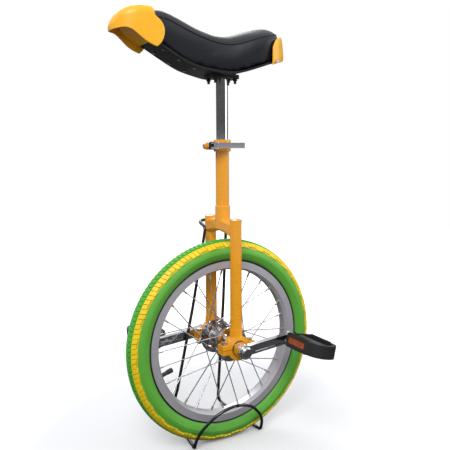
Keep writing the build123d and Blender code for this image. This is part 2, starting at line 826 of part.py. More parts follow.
plug_dome = 2.5
with BuildPart() as leg_plugs:
    with BuildSketch(Plane(origin=(0, leg_spacing_y, leg_top + 0.05), x_dir=(1, 0, 0), z_dir=(0, -1, 0))):
        with BuildLine():
            Polyline(
                (0, plug_dome),
                (0, -10),
                (leg_radius - leg_wall - 0.1, -10),
                (leg_radius - leg_wall - 0.1, 0),
                (leg_radius, 0),
                (leg_radius, 0.8),
            )
            Spline((leg_radius, 0.8), (leg_radius * 0.6, 0.8 * plug_dome), (0, plug_dome))
        make_face()
    revolve(axis=Axis((0, leg_spacing_y, 0), (0, 0, 1)), revolution_arc=360)
    mirror(about=Plane.XZ)
save(leg_plugs, "leg_plugs")

# crown: a rounded bridge between the legs with a sleeve for the seat tube
crown_front = Plane(origin=(0, 0, 0), x_dir=(0, 1, 0), z_dir=(1, 0, 0))
shoulder_z = crown_top - 3
with BuildPart() as fork_crown:
    with BuildSketch(crown_front.offset(-crown_depth / 2)):
        with BuildLine():
            Polyline(
                (-leg_spacing_y, crown_bottom - crown_drop_at_leg),
                (-leg_spacing_y, shoulder_z - 2),
                (-sleeve_radius, crown_top),
                (sleeve_radius, crown_top),
                (leg_spacing_y, shoulder_z - 2),
                (leg_spacing_y, crown_bottom - crown_drop_at_leg),
            )
            ThreePointArc(
                (leg_spacing_y, crown_bottom - crown_drop_at_leg),
                (0, crown_bottom),
                (-leg_spacing_y, crown_bottom - crown_drop_at_leg),
            )
        make_face()
    extrude(amount=crown_depth)
    long_edges = fork_crown.edges().filter_by(lambda e: abs(e.bounding_box().size.Y) > 20)
    fillet(long_edges, 7)
    with BuildSketch(Plane.XY.offset(crown_bottom + 6)):
        Circle(sleeve_radius)
    extrude(amount=sleeve_top - crown_bottom - 6)
    fillet(fork_crown.faces().sort_by(Axis.Z)[-1].edges(), 1.2)
    with BuildSketch(Plane.XY.offset(crown_bottom - 20)):
        with GridLocations(1, 2 * leg_spacing_y, 1, 2):
            Circle(leg_radius + 0.02)
    extrude(amount=crown_height_at_tube + 40, mode=Mode.SUBTRACT)
    with BuildSketch(Plane.XY.offset(crown_bottom - 1)):
        Circle(seat_tube_radius + 0.02)
    extrude(amount=sleeve_top - crown_bottom + 3, mode=Mode.SUBTRACT)
    keep = fork_crown.solids().sort_by(SortBy.VOLUME)[-1]
with BuildPart() as crown_only:
    add(keep)
save(crown_only, "fork_crown")

# seat tube: from inside the crown up to the clamp, slotted at the front
tube_bottom = crown_bottom + 4
with BuildPart() as seat_tube:
    with BuildSketch(Plane.XY.offset(tube_bottom)):
        Circle(seat_tube_radius)
        Circle(post_radius + slide_fit, mode=Mode.SUBTRACT)
    extrude(amount=tube_top - tube_bottom)
    with BuildSketch(Plane.XY.offset(tube_top - tube_slot_length)):
        with Locations((seat_tube_radius, 0)):
            Rectangle(2 * 4, tube_slot_width)
    extrude(amount=tube_slot_length + 1, mode=Mode.SUBTRACT)
save(seat_tube, "seat_tube")

# ================================================================ seat clamp
collar_bottom = tube_top - collar_height
collar_bore = seat_tube_radius + seat_gap
clamp_z = tube_top - collar_height / 2
near_ear_y = ear_gap / 2
ear_outer_y = near_ear_y + ear_thickness
with BuildPart() as seat_collar:
    with BuildSketch(Plane.XY.offset(collar_bottom)):
        Circle(collar_bore + collar_wall)
    extrude(amount=collar_height)
    with BuildSketch(Plane(origin=(0, -ear_outer_y, clamp_z), x_dir=(1, 0, 0), z_dir=(0, 1, 0))):
        with Locations(((collar_bore + ear_reach - ear_height / 2) / 2, 0)):
            Rectangle(ear_reach - ear_height / 2 - collar_bore, ear_height)
        with Locations((ear_reach - ear_height / 2, 0)):
            Circle(ear_height / 2)
    extrude(amount=2 * ear_outer_y)
    with BuildSketch(Plane.XY.offset(collar_bottom - 1)):
        Circle(collar_bore)
        with Locations((collar_bore + ear_reach / 2, 0)):
            Rectangle(ear_reach + 8, ear_gap)
    extrude(amount=collar_height + 2, mode=Mode.SUBTRACT)
    with BuildSketch(Plane(origin=(0, -ear_outer_y - 1, clamp_z), x_dir=(1, 0, 0), z_dir=(0, 1, 0))):
        with Locations((skewer_x, 0)):
            Circle(skewer_radius + 0.3)
    extrude(amount=2 * ear_outer_y + 2, mode=Mode.SUBTRACT)
save(seat_collar, "seat_collar")

pad_thickness = 3.0
pad_start = ear_outer_y + 0.05
pad_end = pad_start + pad_thickness
pivot_y = pad_end + soft_gap + cam_radius + cam_offset
skewer_end_y = -ear_outer_y - 9.5


def clamp_plane(y):
    """Plane facing +Y on the skewer's line."""
    return Plane(origin=(skewer_x, y, clamp_z), x_dir=(1, 0, 0), z_dir=(0, 1, 0))


pin_radius = 3.0
with BuildPart() as clamp_skewer:
    with BuildSketch(clamp_plane(skewer_end_y)):
        Circle(skewer_radius)
    extrude(amount=pivot_y - pin_radius + 0.8 - skewer_end_y)
    with BuildSketch(Plane(origin=(skewer_x, pivot_y, clamp_z - cam_height / 2 - 0.6))):
        Circle(pin_radius)
    extrude(amount=cam_height + 1.2)
save(clamp_skewer, "clamp_skewer")

with BuildPart() as clamp_pad:
    with BuildSketch(clamp_plane(pad_start)):
        RectangleRounded(15, ear_height - 1, 3)
        Circle(skewer_radius + 0.2, mode=Mode.SUBTRACT)
    extrude(amount=pad_thickness)
save(clamp_pad, "clamp_pad")

with BuildPart() as clamp_nut:
    with BuildSketch(clamp_plane(-ear_outer_y - 8.5)):
        Circle(6.5)
        Circle(skewer_radius + running_fit, mode=Mode.SUBTRACT)
    extrude(amount=8.4)
    chamfer(clamp_nut.faces().sort_by(Axis.Y)[0].edges().filter_by(GeomType.CIRCLE).sort_by(Edge.length)[-1:], 1)
save(clamp_nut, "clamp_nut")

# cam lever: closed it points backwards beside the tube; the cam turns on the skewer's cross pin
lever_width = 10.0
lever_thickness = 4.0
slot_half = skewer_radius + 0.4
with BuildPart() as clamp_lever:
    with BuildSketch(Plane.XY.offset(clamp_z - cam_height / 2)):
        with Locations((skewer_x, pivot_y - cam_offset)):
            Circle(cam_radius)
    extrude(amount=cam_height)
    with BuildSketch(Plane.XY.offset(clamp_z - lever_width / 2)):
        with BuildLine():
            arm_y = pivot_y - cam_offset + cam_radius - lever_thickness
            tip_x = skewer_x - lever_length
            Polyline(
                (skewer_x, arm_y + lever_thickness),
                (skewer_x, arm_y),
                (skewer_x - lever_length * 0.7, arm_y),
                (tip_x, arm_y + 3),
                (tip_x, arm_y + 3 + lever_thickness * 0.7),
                (skewer_x - lever_length * 0.7, arm_y + lever_thickness),
                close=True,
            )
        make_face()
    extrude(amount=lever_width)
    # the slot that the skewer swings through while the lever opens
    with BuildSketch(Plane.XY.offset(clamp_z - slot_half)):
        with BuildLine():
            reach = 2 * cam_radius
            first = radians(-122)
            last = radians(72)
            Line((skewer_x, pivot_y), (skewer_x + reach * cos(first), pivot_y + reach * sin(first)))
            ThreePointArc(
                (skewer_x + reach * cos(first), pivot_y + reach * sin(first)),
                (skewer_x + reach * cos((first + last) / 2), pivot_y + reach * sin((first + last) / 2)),
                (skewer_x + reach * cos(last), pivot_y + reach * sin(last)),
            )
            Line((skewer_x + reach * cos(last), pivot_y + reach * sin(last)), (skewer_x, pivot_y))
        make_face()
    extrude(amount=2 * slot_half, mode=Mode.SUBTRACT)
    with BuildSketch(Plane.XY.offset(clamp_z - slot_half)):
        with Locations((skewer_x, pivot_y)):
            Circle(pin_radius + 2)
    extrude(amount=2 * slot_half, mode=Mode.SUBTRACT)
    with BuildSketch(Plane.XY.offset(clamp_z - cam_height)):
        with Locations((skewer_x, pivot_y)):
            Circle(pin_radius + running_fit)
    extrude(amount=2 * cam_height, mode=Mode.SUBTRACT)
save(clamp_lever, "clamp_lever")

# ================================================================ seat post and saddle
post_bottom = tube_top - post_inserted
with BuildPart() as seat_post:
    with BuildSketch(Plane.XY.offset(post_bottom)):
        Circle(post_radius)
        Circle(post_radius - post_wall, mode=Mode.SUBTRACT)
    extrude(amount=plate_z - post_bottom)
save(seat_post, "seat_post")

bracket_length = 56.0
bracket_width = 40.0
bracket_thickness = 3.0
stud_spacing_x = 42.0
stud_spacing_y = 26.0
saddle_stud_radius = 2.5
with BuildPart() as saddle_bracket:
    with BuildSketch(Plane.XY.offset(plate_z)):
        RectangleRounded(bracket_length, bracket_width, 5)
        with GridLocations(stud_spacing_x, stud_spacing_y, 2, 2):
            Circle(saddle_stud_radius + 0.3, mode=Mode.SUBTRACT)
    extrude(amount=bracket_thickness)
save(saddle_bracket, "saddle_bracket")

# side outlines of the saddle: x forwards, height above the base's lowest line
saddle_z = plate_z + bracket_thickness
side_plane = Plane(origin=(0, 0, saddle_z), x_dir=(1, 0, 0), z_dir=(0, -1, 0))
cushion_top = (
    (192, 82), (178, 91), (164, 96), (152, 99.5), (142, 105), (130, 107), (108, 102), (72, 88), (25, 73), (4, 72),
    (-22, 79), (-43, 86), (-70, 93), (-92, 95), (-111.5, 92),
)
cushion_bottom = (
    (-119, 37), (-100, 31), (-60, 18.5), (-30, 8.5), (0, 1.2), (38, 4), (75, 12), (110, 28), (150, 50), (192, 72),
)
# outline of the saddle from above: nose to tail along the left, then back along the right
plan_left = (
    (193.5, 0), (184, 22), (160, 32), (120, 34), (80, 36), (40, 43), (0, 55), (-40, 66), (-70, 67), (-92, 57),
    (-107, 40), (-117.5, 20), (-121.5, 0),
)
plan_outline = plan_left + tuple((x, -y) for x, y in plan_left[-2:0:-1])
screw_radius = 1.5
front_screw_x = 150.0
rear_screw_x = -76.0


# the tail leans forwards this much for each millimetre it rises
tail_slant = (cushion_top[-1][0] - cushion_bottom[0][0]) / (cushion_top[-1][1] - cushion_bottom[0][1])


def moved(points, rise, trim=0.0):
    """Side outline points raised by rise, with both ends pulled in by trim along the nose and tail."""
    shifted = [(x, z + rise) for x, z in points]
    for end in (0, -1):
        x, z = shifted[end]
        shifted[end] = (x - trim if x > 0 else x + trim + tail_slant * rise, z)
    return shifted


def base_line(x):
    """Height of the saddle's lower line above saddle_z at a place along it."""
    points = sorted(cushion_bottom)
    for (x0, z0), (x1, z1) in zip(points, points[1:]):
        if x0 <= x <= x1:
            return z0 + (z1 - z0) * (x - x0) / (x1 - x0)
    return points[-1][1]


def grown(outline, growth):
    """A closed outline seen from above, each point pushed out square to the line past it."""
    pushed = []
    for place, (x, y) in enumerate(outline):
        back_x, back_y = outline[place - 1]
        next_x, next_y = outline[(place + 1) % len(outline)]
        step = sqrt((next_x - back_x) ** 2 + (next_y - back_y) ** 2)
        pushed.append((x + growth * (next_y - back_y) / step, y - growth * (next_x - back_x) / step))
    return pushed


def between(upper, lower, growth):
    """Solid between two side curves, inside the plan outline grown by growth."""
    with BuildPart() as block:
        with BuildSketch(side_plane):
            with BuildLine():
                Spline(*upper)
                Line(upper[-1], lower[0])
                Spline(*lower)
                Line(lower[-1], upper[0])
            make_face()
        extrude(amount=120, both=True)
        with BuildSketch(Plane.XY.offset(saddle_z - 60)):
            with BuildLine():
                Spline(*grown(plan_outline, growth), periodic=True)
            make_face()
        extrude(amount=300, mode=Mode.INTERSECT)
    return block.part


def drill_sides(x, height, mode=Mode.SUBTRACT):
    """Cut the cross hole of one pair of side screws, inside a BuildPart."""
    with BuildSketch(Plane(origin=(x, -120, saddle_z + height), x_dir=(1, 0, 0), z_dir=(0, 1, 0))) as hole:
        Circle(screw_radius + 0.2)
    extrude(hole.sketch, amount=240, mode=mode)


front_screw_height = base_line(front_screw_x) + base_thickness / 2
rear_screw_height = base_line(rear_screw_x) + base_thickness / 2
stud_height = base_thickness + 1.5
stud_reach = 9.0

with BuildPart() as saddle_base:
    add(between(moved(cushion_bottom, base_thickness, cover_skin + 0.2)[::-1],
                moved(cushion_bottom, 0, cover_skin + 0.2), -cover_skin - 0.2))
    with BuildSketch(Plane.XY.offset(saddle_z)):
        RectangleRounded(bracket_length, bracket_width, 5)
    extrude(amount=base_thickness)
    drill_sides(front_screw_x, front_screw_height)
    drill_sides(rear_screw_x, rear_screw_height)
    with BuildSketch(Plane.XY.offset(saddle_z - 30)):
        with GridLocations(stud_spacing_x, stud_spacing_y, 2, 2):
            Circle(saddle_stud_radius + 0.1)
    extrude(amount=60, mode=Mode.SUBTRACT)
save(saddle_base, "saddle_base")

foam_floor = base_thickness + 3.2
with BuildPart() as saddle_foam:
    add(between(moved(cushion_top, -cover_skin - 0.2, cover_skin + 0.2),
                moved(cushion_bottom, foam_floor, cover_skin + 0.2), -cover_skin - 0.2))
save(saddle_foam, "saddle_foam")

with BuildPart() as saddle_cover:
    add(between(cushion_top, cushion_bottom, 0))
    inner = between(moved(cushion_top, -cover_skin, cover_skin), moved(cushion_bottom, -40, cover_skin), -cover_skin)
    add(inner, mode=Mode.SUBTRACT)
    drill_sides(front_screw_x, front_screw_height)
    drill_sides(rear_screw_x, rear_screw_height)
save(saddle_cover, "saddle_cover")

with BuildPart() as saddle_studs:
    with BuildSketch(Plane.XY.offset(saddle_z - bracket_thickness - stud_reach)):
        with GridLocations(stud_spacing_x, stud_spacing_y, 2, 2):
            Circle(saddle_stud_radius)
    extrude(amount=stud_reach + bracket_thickness + stud_height)
save(saddle_studs, "saddle_studs")

with BuildPart() as saddle_nuts:
    with BuildSketch(Plane.XY.offset(plate_z - 0.05 - 4)):
        with GridLocations(stud_spacing_x, stud_spacing_y, 2, 2):
            RegularPolygon(4, 6, major_radius=False)
            Circle(saddle_stud_radius + running_fit, mode=Mode.SUBTRACT)
    extrude(amount=4)
save(saddle_nuts, "saddle_nuts")

# front handle: a deep moulded cap over the nose, open underneath for the fingers
handle_top = ((155, 104.5), (171, 104), (190, 99.5), (201, 92), (208, 82), (210.5, 72), (211, 64))
handle_bottom = ((211, 64), (203, 65.5), (192, 64.5), (181, 57), (169, 47), (158, 41), (147, 37))
handle_rear = ((147, 37), (138, 50), (133, 64), (133, 77), (139, 90), (155, 104.5))
handle_left = ((212.5, 0), (206, 19), (190, 32), (150, 38.2), (110, 39.5), (80, 30), (70, 0))
handle_plan = handle_left + tuple((x, -y) for x, y in handle_left[-2:0:-1])


def handle_block(drop, growth):
    """Solid of the handle's outline, its top lowered by drop and its plan grown by growth."""
    with BuildPart() as block:
        with BuildSketch(side_plane):
            with BuildLine():
                if drop:
                    lowered = [(x - drop * (x > 200), z - drop) for x, z in handle_top]
                    Polyline((90, lowered[0][1]), lowered[0])
                    Spline(*lowered)
                    Polyline(lowered[-1], (lowered[-1][0], 0), (90, 0), (90, lowered[0][1]))
                else:
                    Spline(*handle_top)
                    Spline(*handle_bottom)
                    Spline(*handle_rear)
            make_face()
        extrude(amount=120, both=True)
        with BuildSketch(Plane.XY.offset(saddle_z - 60)):
            with BuildLine():
                Spline(*grown(handle_plan, growth), periodic=True)
            make_face()
        extrude(amount=300, mode=Mode.INTERSECT)
    return block.part


with BuildPart() as front_handle:
    add(handle_block(0, 0))
    add(handle_block(bumper_wall, -bumper_wall), mode=Mode.SUBTRACT)
    drill_sides(front_screw_x, front_screw_height)
save(front_handle, "front_handle")

# rear bumper: a low band round the tail
bumper_top = ((-65, 46), (-70, 60), (-84, 68), (-117.5, 76.5))
bumper_bottom = ((-123.5, 36), (-100, 28.5), (-66, 18))
with BuildPart() as rear_bumper:
    with BuildSketch(side_plane):
        with BuildLine():
            Spline(*bumper_top)
            Line(bumper_top[-1], bumper_bottom[0])
            Spline(*bumper_bottom)
            Line(bumper_bottom[-1], bumper_top[0])
        make_face()
    extrude(amount=120, both=True)
    with BuildSketch(Plane.XY.offset(saddle_z - 60)):
        with BuildLine():
            Spline(*grown(plan_outline, bumper_wall + 0.4), periodic=True)
        make_face()
    extrude(amount=300, mode=Mode.INTERSECT)
    add(between(moved(cushion_top, 20, -0.4), moved(cushion_bottom, -40, -0.4), 0.4), mode=Mode.SUBTRACT)
    drill_sides(rear_screw_x, rear_screw_height)
save(rear_bumper, "rear_bumper")


def side_screws(x, height, face_y, depth):
    """One pair of pan-head screws driven in from both sides, inside a BuildPart."""
    for side in (1, -1):
        with BuildSketch(Plane(origin=(x, side * face_y, saddle_z + height), z_dir=(0, side, 0))) as head:
            Circle(2 * screw_radius)
        extrude(head.sketch, amount=1.6)
        with BuildSketch(Plane(origin=(x, side * face_y, saddle_z + height), z_dir=(0, -side, 0))) as shank:
            Circle(screw_radius)
        extrude(shank.sketch, amount=depth)


with BuildPart() as bumper_screws:
    side_screws(front_screw_x, front_screw_height, 38.4 + 0.35, 12)
    side_screws(rear_screw_x, rear_screw_height, 66.5 + bumper_wall + 0.4, 12)
save(bumper_screws, "bumper_screws")

# rivets that hold the vinyl to the base, heads flat against the underside
rivet_places = (0.58, 0.68, 0.78, 0.88)   # along the underside, tail to nose
rivet_row_y = 21.0
rivet_radius = 2.6
rivet_head = 1.0
rivet_gap = 0.15
with BuildPart() as cover_rivets:
    with BuildLine(side_plane, mode=Mode.PRIVATE) as underside:
        Spline(*moved(cushion_bottom, 0, cover_skin + 0.2))
    for place in rivet_places:
        along = underside.line % place
        down = Vector(along.Z, 0, -along.X)
        spot = underside.line @ place + down * rivet_gap
        for side in (1, -1):
            with BuildSketch(Plane(origin=spot + Vector(0, side * rivet_row_y, 0), z_dir=down)) as head:
                Circle(rivet_radius)
            extrude(head.sketch, amount=rivet_head)
save(cover_rivets, "cover_rivets")

# ================================================================ display stand
# one closed loop of wire: a hook round the right leg, two uprights that pass between the wheel
# and the right crank, two floor runs under the tyre, and an arch that leans away on the left
floor_z = wire_radius
hook_z = leg_top - 10
hook_inner_y = -28.0
hook_outer_y = -leg_spacing_y - leg_radius - wire_radius - soft_gap
upright_y = -(crank_boss_start_y + crank_inner_y) / 2 + 0.5
foot_far_y = -150.0
foot_near_y = 18.0
arch_radius = 76.0
arch_lean = radians(20)
arch_corner = arch_radius * (sqrt(2) - 1)


def arch_point(across_x, rise):
    """Point of the leaning arch: across_x forwards, rise along its slope."""
    return (across_x, foot_near_y + rise * sin(arch_lean), floor_z + rise * cos(arch_lean))


stand_route = (
    ((0, hook_outer_y, hook_z + 1), None),
    ((21, hook_outer_y, hook_z + 1), 16),
    ((23, hook_inner_y, hook_z - 10), 9),
    ((33, upright_y, axle_height + 58), 80),
    ((71, upright_y, axle_height - 112), 14),
    ((48, foot_far_y, floor_z), 10),
    (arch_point(arch_radius, 0), 9),
    (arch_point(arch_radius, arch_corner), arch_radius * 0.86),
    (arch_point(arch_corner, arch_radius + 8), arch_radius * 0.9),
    (arch_point(-arch_corner, arch_radius + 8), arch_radius * 0.9),
    (arch_point(-arch_radius, arch_corner), arch_radius * 0.86),
    (arch_point(-arch_radius, 0), 9),
    ((-70, foot_far_y, floor_z), 10),
    ((-25, upright_y, axle_height - 121), 14),
    ((-38, upright_y, axle_height + 58), 80),
    ((-23.5, hook_inner_y, hook_z - 10), 9),
    ((-21, hook_outer_y, hook_z + 1), 16),
    ((-0.001, hook_outer_y, hook_z + 1), None),
)
with BuildLine() as stand_line:
    FilletPolyline(
        [point for point, radius in stand_route],
        radius=[radius for point, radius in stand_route if radius],
    )


# each straight and each bend is a rod of its own, butted to the next
rods = []
for edge in stand_line.line.edges():
    with BuildPart() as rod:
        with BuildSketch(Plane(origin=edge @ 0, z_dir=edge % 0)):
            Circle(wire_radius)
        sweep(path=edge)
    rods += rod.part.solids()
export_step(Compound(label="stand_wire", children=rods), "parts/stand_wire.step")
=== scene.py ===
"""Sixteen-inch unicycle on its wire display stand: knobbly tyre, padded saddle, bumpers and finishes."""
import math

import bmesh
import bpy
import numpy as np
from mathutils import Matrix, Vector
from mathutils.bvhtree import BVHTree


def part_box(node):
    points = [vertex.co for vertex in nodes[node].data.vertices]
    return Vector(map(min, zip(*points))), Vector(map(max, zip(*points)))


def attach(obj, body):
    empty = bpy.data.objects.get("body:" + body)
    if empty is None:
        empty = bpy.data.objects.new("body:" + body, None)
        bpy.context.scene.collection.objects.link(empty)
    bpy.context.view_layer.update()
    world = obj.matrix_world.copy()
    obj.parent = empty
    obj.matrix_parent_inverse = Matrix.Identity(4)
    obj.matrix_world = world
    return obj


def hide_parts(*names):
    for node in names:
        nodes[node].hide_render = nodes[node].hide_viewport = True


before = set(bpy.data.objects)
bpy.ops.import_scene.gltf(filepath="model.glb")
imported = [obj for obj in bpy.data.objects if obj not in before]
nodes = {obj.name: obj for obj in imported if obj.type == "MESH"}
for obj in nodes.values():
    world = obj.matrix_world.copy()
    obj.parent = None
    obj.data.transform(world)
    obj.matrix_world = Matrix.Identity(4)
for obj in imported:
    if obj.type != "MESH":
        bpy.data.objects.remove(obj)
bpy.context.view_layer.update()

MM = 0.001
tyre_low, tyre_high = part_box("tyre")
axle_z = (tyre_low.z + tyre_high.z) / 2
saddle_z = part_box("saddle_bracket")[1].z

# ================================================================ camera, light and floor
camera_place = Vector((0.5452, 0.9504, 0.5689))
camera_aim = Vector((-0.49712, -0.85852, -0.12579))
camera_roll = -0.006
camera_data = bpy.data.cameras.new("studio_camera")
camera_data.lens = 45.85
camera_data.sensor_width = 36.0
camera = bpy.data.objects.new("studio_camera", camera_data)
bpy.context.scene.collection.objects.link(camera)
camera.matrix_world = (
    Matrix.Translation(camera_place)
    @ camera_aim.to_track_quat("-Z", "Y").to_matrix().to_4x4()
    @ Matrix.Rotation(camera_roll, 4, "Z")
)
bpy.context.scene.camera = camera
bpy.context.scene.view_settings.view_transform = "Standard"


def soft_light(name, place, target, size, power, tint=(1, 1, 1)):
    """A square soft box of that size that shines from place towards target."""
    data = bpy.data.lights.new(name, "AREA")
    data.shape = "SQUARE"
    data.size = size
    data.energy = power
    data.color = tint
    lamp = bpy.data.objects.new(name, data)
    bpy.context.scene.collection.objects.link(lamp)
    place = Vector(place)
    lamp.matrix_world = (
        Matrix.Translation(place) @ (Vector(target) - place).to_track_quat("-Z", "Y").to_matrix().to_4x4()
    )


soft_light("key_box", (1.3, 1.6, 2.2), (0, 0, 0.4), 1.2, 42)
soft_light("fill_box", (-1.9, 1.2, 1.3), (0, 0, 0.4), 1.5, 16)
soft_light("back_box", (-0.6, -2.0, 1.8), (0, 0, 0.4), 1.2, 16)

# the room: white where the camera looks past the floor, and softly banded in reflections
world = bpy.data.worlds.new("pale_studio")
world.use_nodes = True
bpy.context.scene.world = world
sky = world.node_tree
sky.nodes.clear()
sky_out = sky.nodes.new("ShaderNodeOutputWorld")
sky_mix = sky.nodes.new("ShaderNodeMixShader")
sky_seen = sky.nodes.new("ShaderNodeBackground")
sky_soft = sky.nodes.new("ShaderNodeMixShader")
sky_even = sky.nodes.new("ShaderNodeBackground")
sky_lit = sky.nodes.new("ShaderNodeBackground")
sky_path = sky.nodes.new("ShaderNodeLightPath")
sky_coord = sky.nodes.new("ShaderNodeTexCoord")
sky_split = sky.nodes.new("ShaderNodeSeparateXYZ")
sky_ramp = sky.nodes.new("ShaderNodeValToRGB")
sky_seen.inputs["Color"].default_value = (1, 1, 1, 1)
sky_seen.inputs["Strength"].default_value = 1.0
sky_even.inputs["Color"].default_value = (0.97, 0.98, 1, 1)
sky_even.inputs["Strength"].default_value = 0.72
sky_lit.inputs["Strength"].default_value = 0.85
ramp = sky_ramp.color_ramp
ramp.elements[0].position = 0.0
ramp.elements[0].color = (0.58, 0.58, 0.60, 1)
ramp.elements[1].position = 1.0
ramp.elements[1].color = (1, 1, 1, 1)
for place, shade in ((0.03, 0.10), (0.20, 0.12), (0.34, 0.70), (0.60, 0.95)):
    step = ramp.elements.new(place)
    step.color = (shade, shade, shade * 1.02, 1)
sky.links.new(sky_coord.outputs["Generated"], sky_split.inputs["Vector"])
sky.links.new(sky_split.outputs["Z"], sky_ramp.inputs["Fac"])
sky.links.new(sky_ramp.outputs["Color"], sky_lit.inputs["Color"])
sky.links.new(sky_path.outputs["Is Camera Ray"], sky_mix.inputs["Fac"])
sky.links.new(sky_path.outputs["Is Diffuse Ray"], sky_soft.inputs["Fac"])
sky.links.new(sky_lit.outputs["Background"], sky_soft.inputs[1])
sky.links.new(sky_even.outputs["Background"], sky_soft.inputs[2])
sky.links.new(sky_soft.outputs["Shader"], sky_mix.inputs[1])
sky.links.new(sky_seen.outputs["Background"], sky_mix.inputs[2])
sky.links.new(sky_mix.outputs["Shader"], sky_out.inputs["Surface"])


# ================================================================ node groups
def node_group(name, inputs, outputs):
    """An empty shader group with named sockets; returns the group and its two end nodes."""
    group = bpy.data.node_groups.new(name, "ShaderNodeTree")
    for label, kind, value in inputs:
        socket = group.interface.new_socket(name=label, in_out="INPUT", socket_type=kind)
        socket.default_value = value
    for label, kind in outputs:
        group.interface.new_socket(name=label, in_out="OUTPUT", socket_type=kind)
    return group, group.nodes.new("NodeGroupInput"), group.nodes.new("NodeGroupOutput")


def maths(tree, operation, first, second=None, clamp=False):
    """One Math node; each input is a number or a socket. Returns its output."""
    node = tree.nodes.new("ShaderNodeMath")
    node.operation = operation
    node.use_clamp = clamp
    for place, value in enumerate((first, second)):
        if value is None:
            continue
        if isinstance(value, (int, float)):
            node.inputs[place].default_value = value
        else:
            tree.links.new(value, node.inputs[place])
    return node.outputs[0]


def mixed(tree, factor, first, second, blend="MIX"):
    """Colour mix of two sockets or colours by a number or socket. Returns its output."""
    node = tree.nodes.new("ShaderNodeMix")
    node.data_type = "RGBA"
    node.blend_type = blend
    for place, value in ((0, factor), (6, first), (7, second)):
        if isinstance(value, bpy.types.NodeSocket):
            tree.links.new(value, node.inputs[place])
        else:
            node.inputs[place].default_value = value
    return node.outputs[2]


def noise(tree, vector, scale, detail=3.0, roughness=0.5):
    """Noise texture output at a scale given as a number or a socket."""
    node = tree.nodes.new("ShaderNodeTexNoise")
    node.inputs["Detail"].default_value = detail
    node.inputs["Roughness"].default_value = roughness
    tree.links.new(vector, node.inputs["Vector"])
    if isinstance(scale, bpy.types.NodeSocket):
        tree.links.new(scale, node.inputs["Scale"])
    else:
        node.inputs["Scale"].default_value = scale
    return node.outputs["Fac"]


def object_place(tree):
    """Object coordinates, in metres in the shared frame."""
    return tree.nodes.new("ShaderNodeTexCoord").outputs["Object"]


# patina: colour drifts a little, and small dull marks come out as a mask
patina, start, end = node_group(
    "patina",
    (("Colour", "NodeSocketColor", (0.5, 0.5, 0.5, 1)), ("Drift", "NodeSocketFloat", 0.1),
     ("Scale", "NodeSocketFloat", 30.0), ("Marks", "NodeSocketFloat", 0.2)),
    (("Colour", "NodeSocketColor"), ("Marks", "NodeSocketFloat")),
)
where = object_place(patina)
broad = noise(patina, where, start.outputs["Scale"], 4.0)
fine = noise(patina, where, maths(patina, "MULTIPLY", start.outputs["Scale"], 9.0), 2.0)
drift = maths(patina, "MULTIPLY", maths(patina, "SUBTRACT", broad, 0.5), start.outputs["Drift"])
value = patina.nodes.new("ShaderNodeHueSaturation")
patina.links.new(start.outputs["Colour"], value.inputs["Color"])
patina.links.new(maths(patina, "ADD", 1.0, maths(patina, "MULTIPLY", drift, 2.0)), value.inputs["Value"])
patina.links.new(maths(patina, "ADD", 0.5, maths(patina, "MULTIPLY", drift, 0.06)), value.inputs["Hue"])
patina.links.new(value.outputs["Color"], end.inputs["Colour"])
speck = maths(patina, "SUBTRACT", maths(patina, "MULTIPLY", fine, broad), 0.2, clamp=True)
patina.links.new(maths(patina, "MULTIPLY", speck, start.outputs["Marks"]), end.inputs["Marks"])

# grain: a fine even skin, from pebbles to orange peel
grain, start, end = node_group(
    "grain",
    (("Scale", "NodeSocketFloat", 900.0), ("Pebble", "NodeSocketFloat", 0.5)),
    (("Height", "NodeSocketFloat"),),
)
where = object_place(grain)
cells = grain.nodes.new("ShaderNodeTexVoronoi")
cells.feature = "SMOOTH_F1"
grain.links.new(where, cells.inputs["Vector"])
grain.links.new(start.outputs["Scale"], cells.inputs["Scale"])
ripple = noise(grain, where, start.outputs["Scale"], 3.0)
pebble = maths(grain, "MULTIPLY", cells.outputs["Distance"], start.outputs["Pebble"])
grain.links.new(maths(grain, "ADD", pebble, ripple), end.inputs["Height"])

# turned: fine rings about the axle, as a lathe or a spinning brush leaves them
turned, start, end = node_group(
    "turned",
    (("Rings", "NodeSocketFloat", 4000.0), ("Height of axle", "NodeSocketFloat", 0.2)),
    (("Height", "NodeSocketFloat"),),
)
split = turned.nodes.new("ShaderNodeSeparateXYZ")
turned.links.new(object_place(turned), split.inputs["Vector"])
rise = maths(turned, "SUBTRACT", split.outputs["Z"], start.outputs["Height of axle"])
across = maths(turned, "MULTIPLY", split.outputs["X"], split.outputs["X"])
radius = maths(turned, "SQRT", maths(turned, "ADD", across, maths(turned, "MULTIPLY", rise, rise)))
join = turned.nodes.new("ShaderNodeCombineXYZ")
turned.links.new(radius, join.inputs["X"])
turned.links.new(maths(turned, "MULTIPLY", split.outputs["Y"], 0.35), join.inputs["Y"])
turned.links.new(noise(turned, join.outputs["Vector"], start.outputs["Rings"], 2.0), end.inputs["Height"])


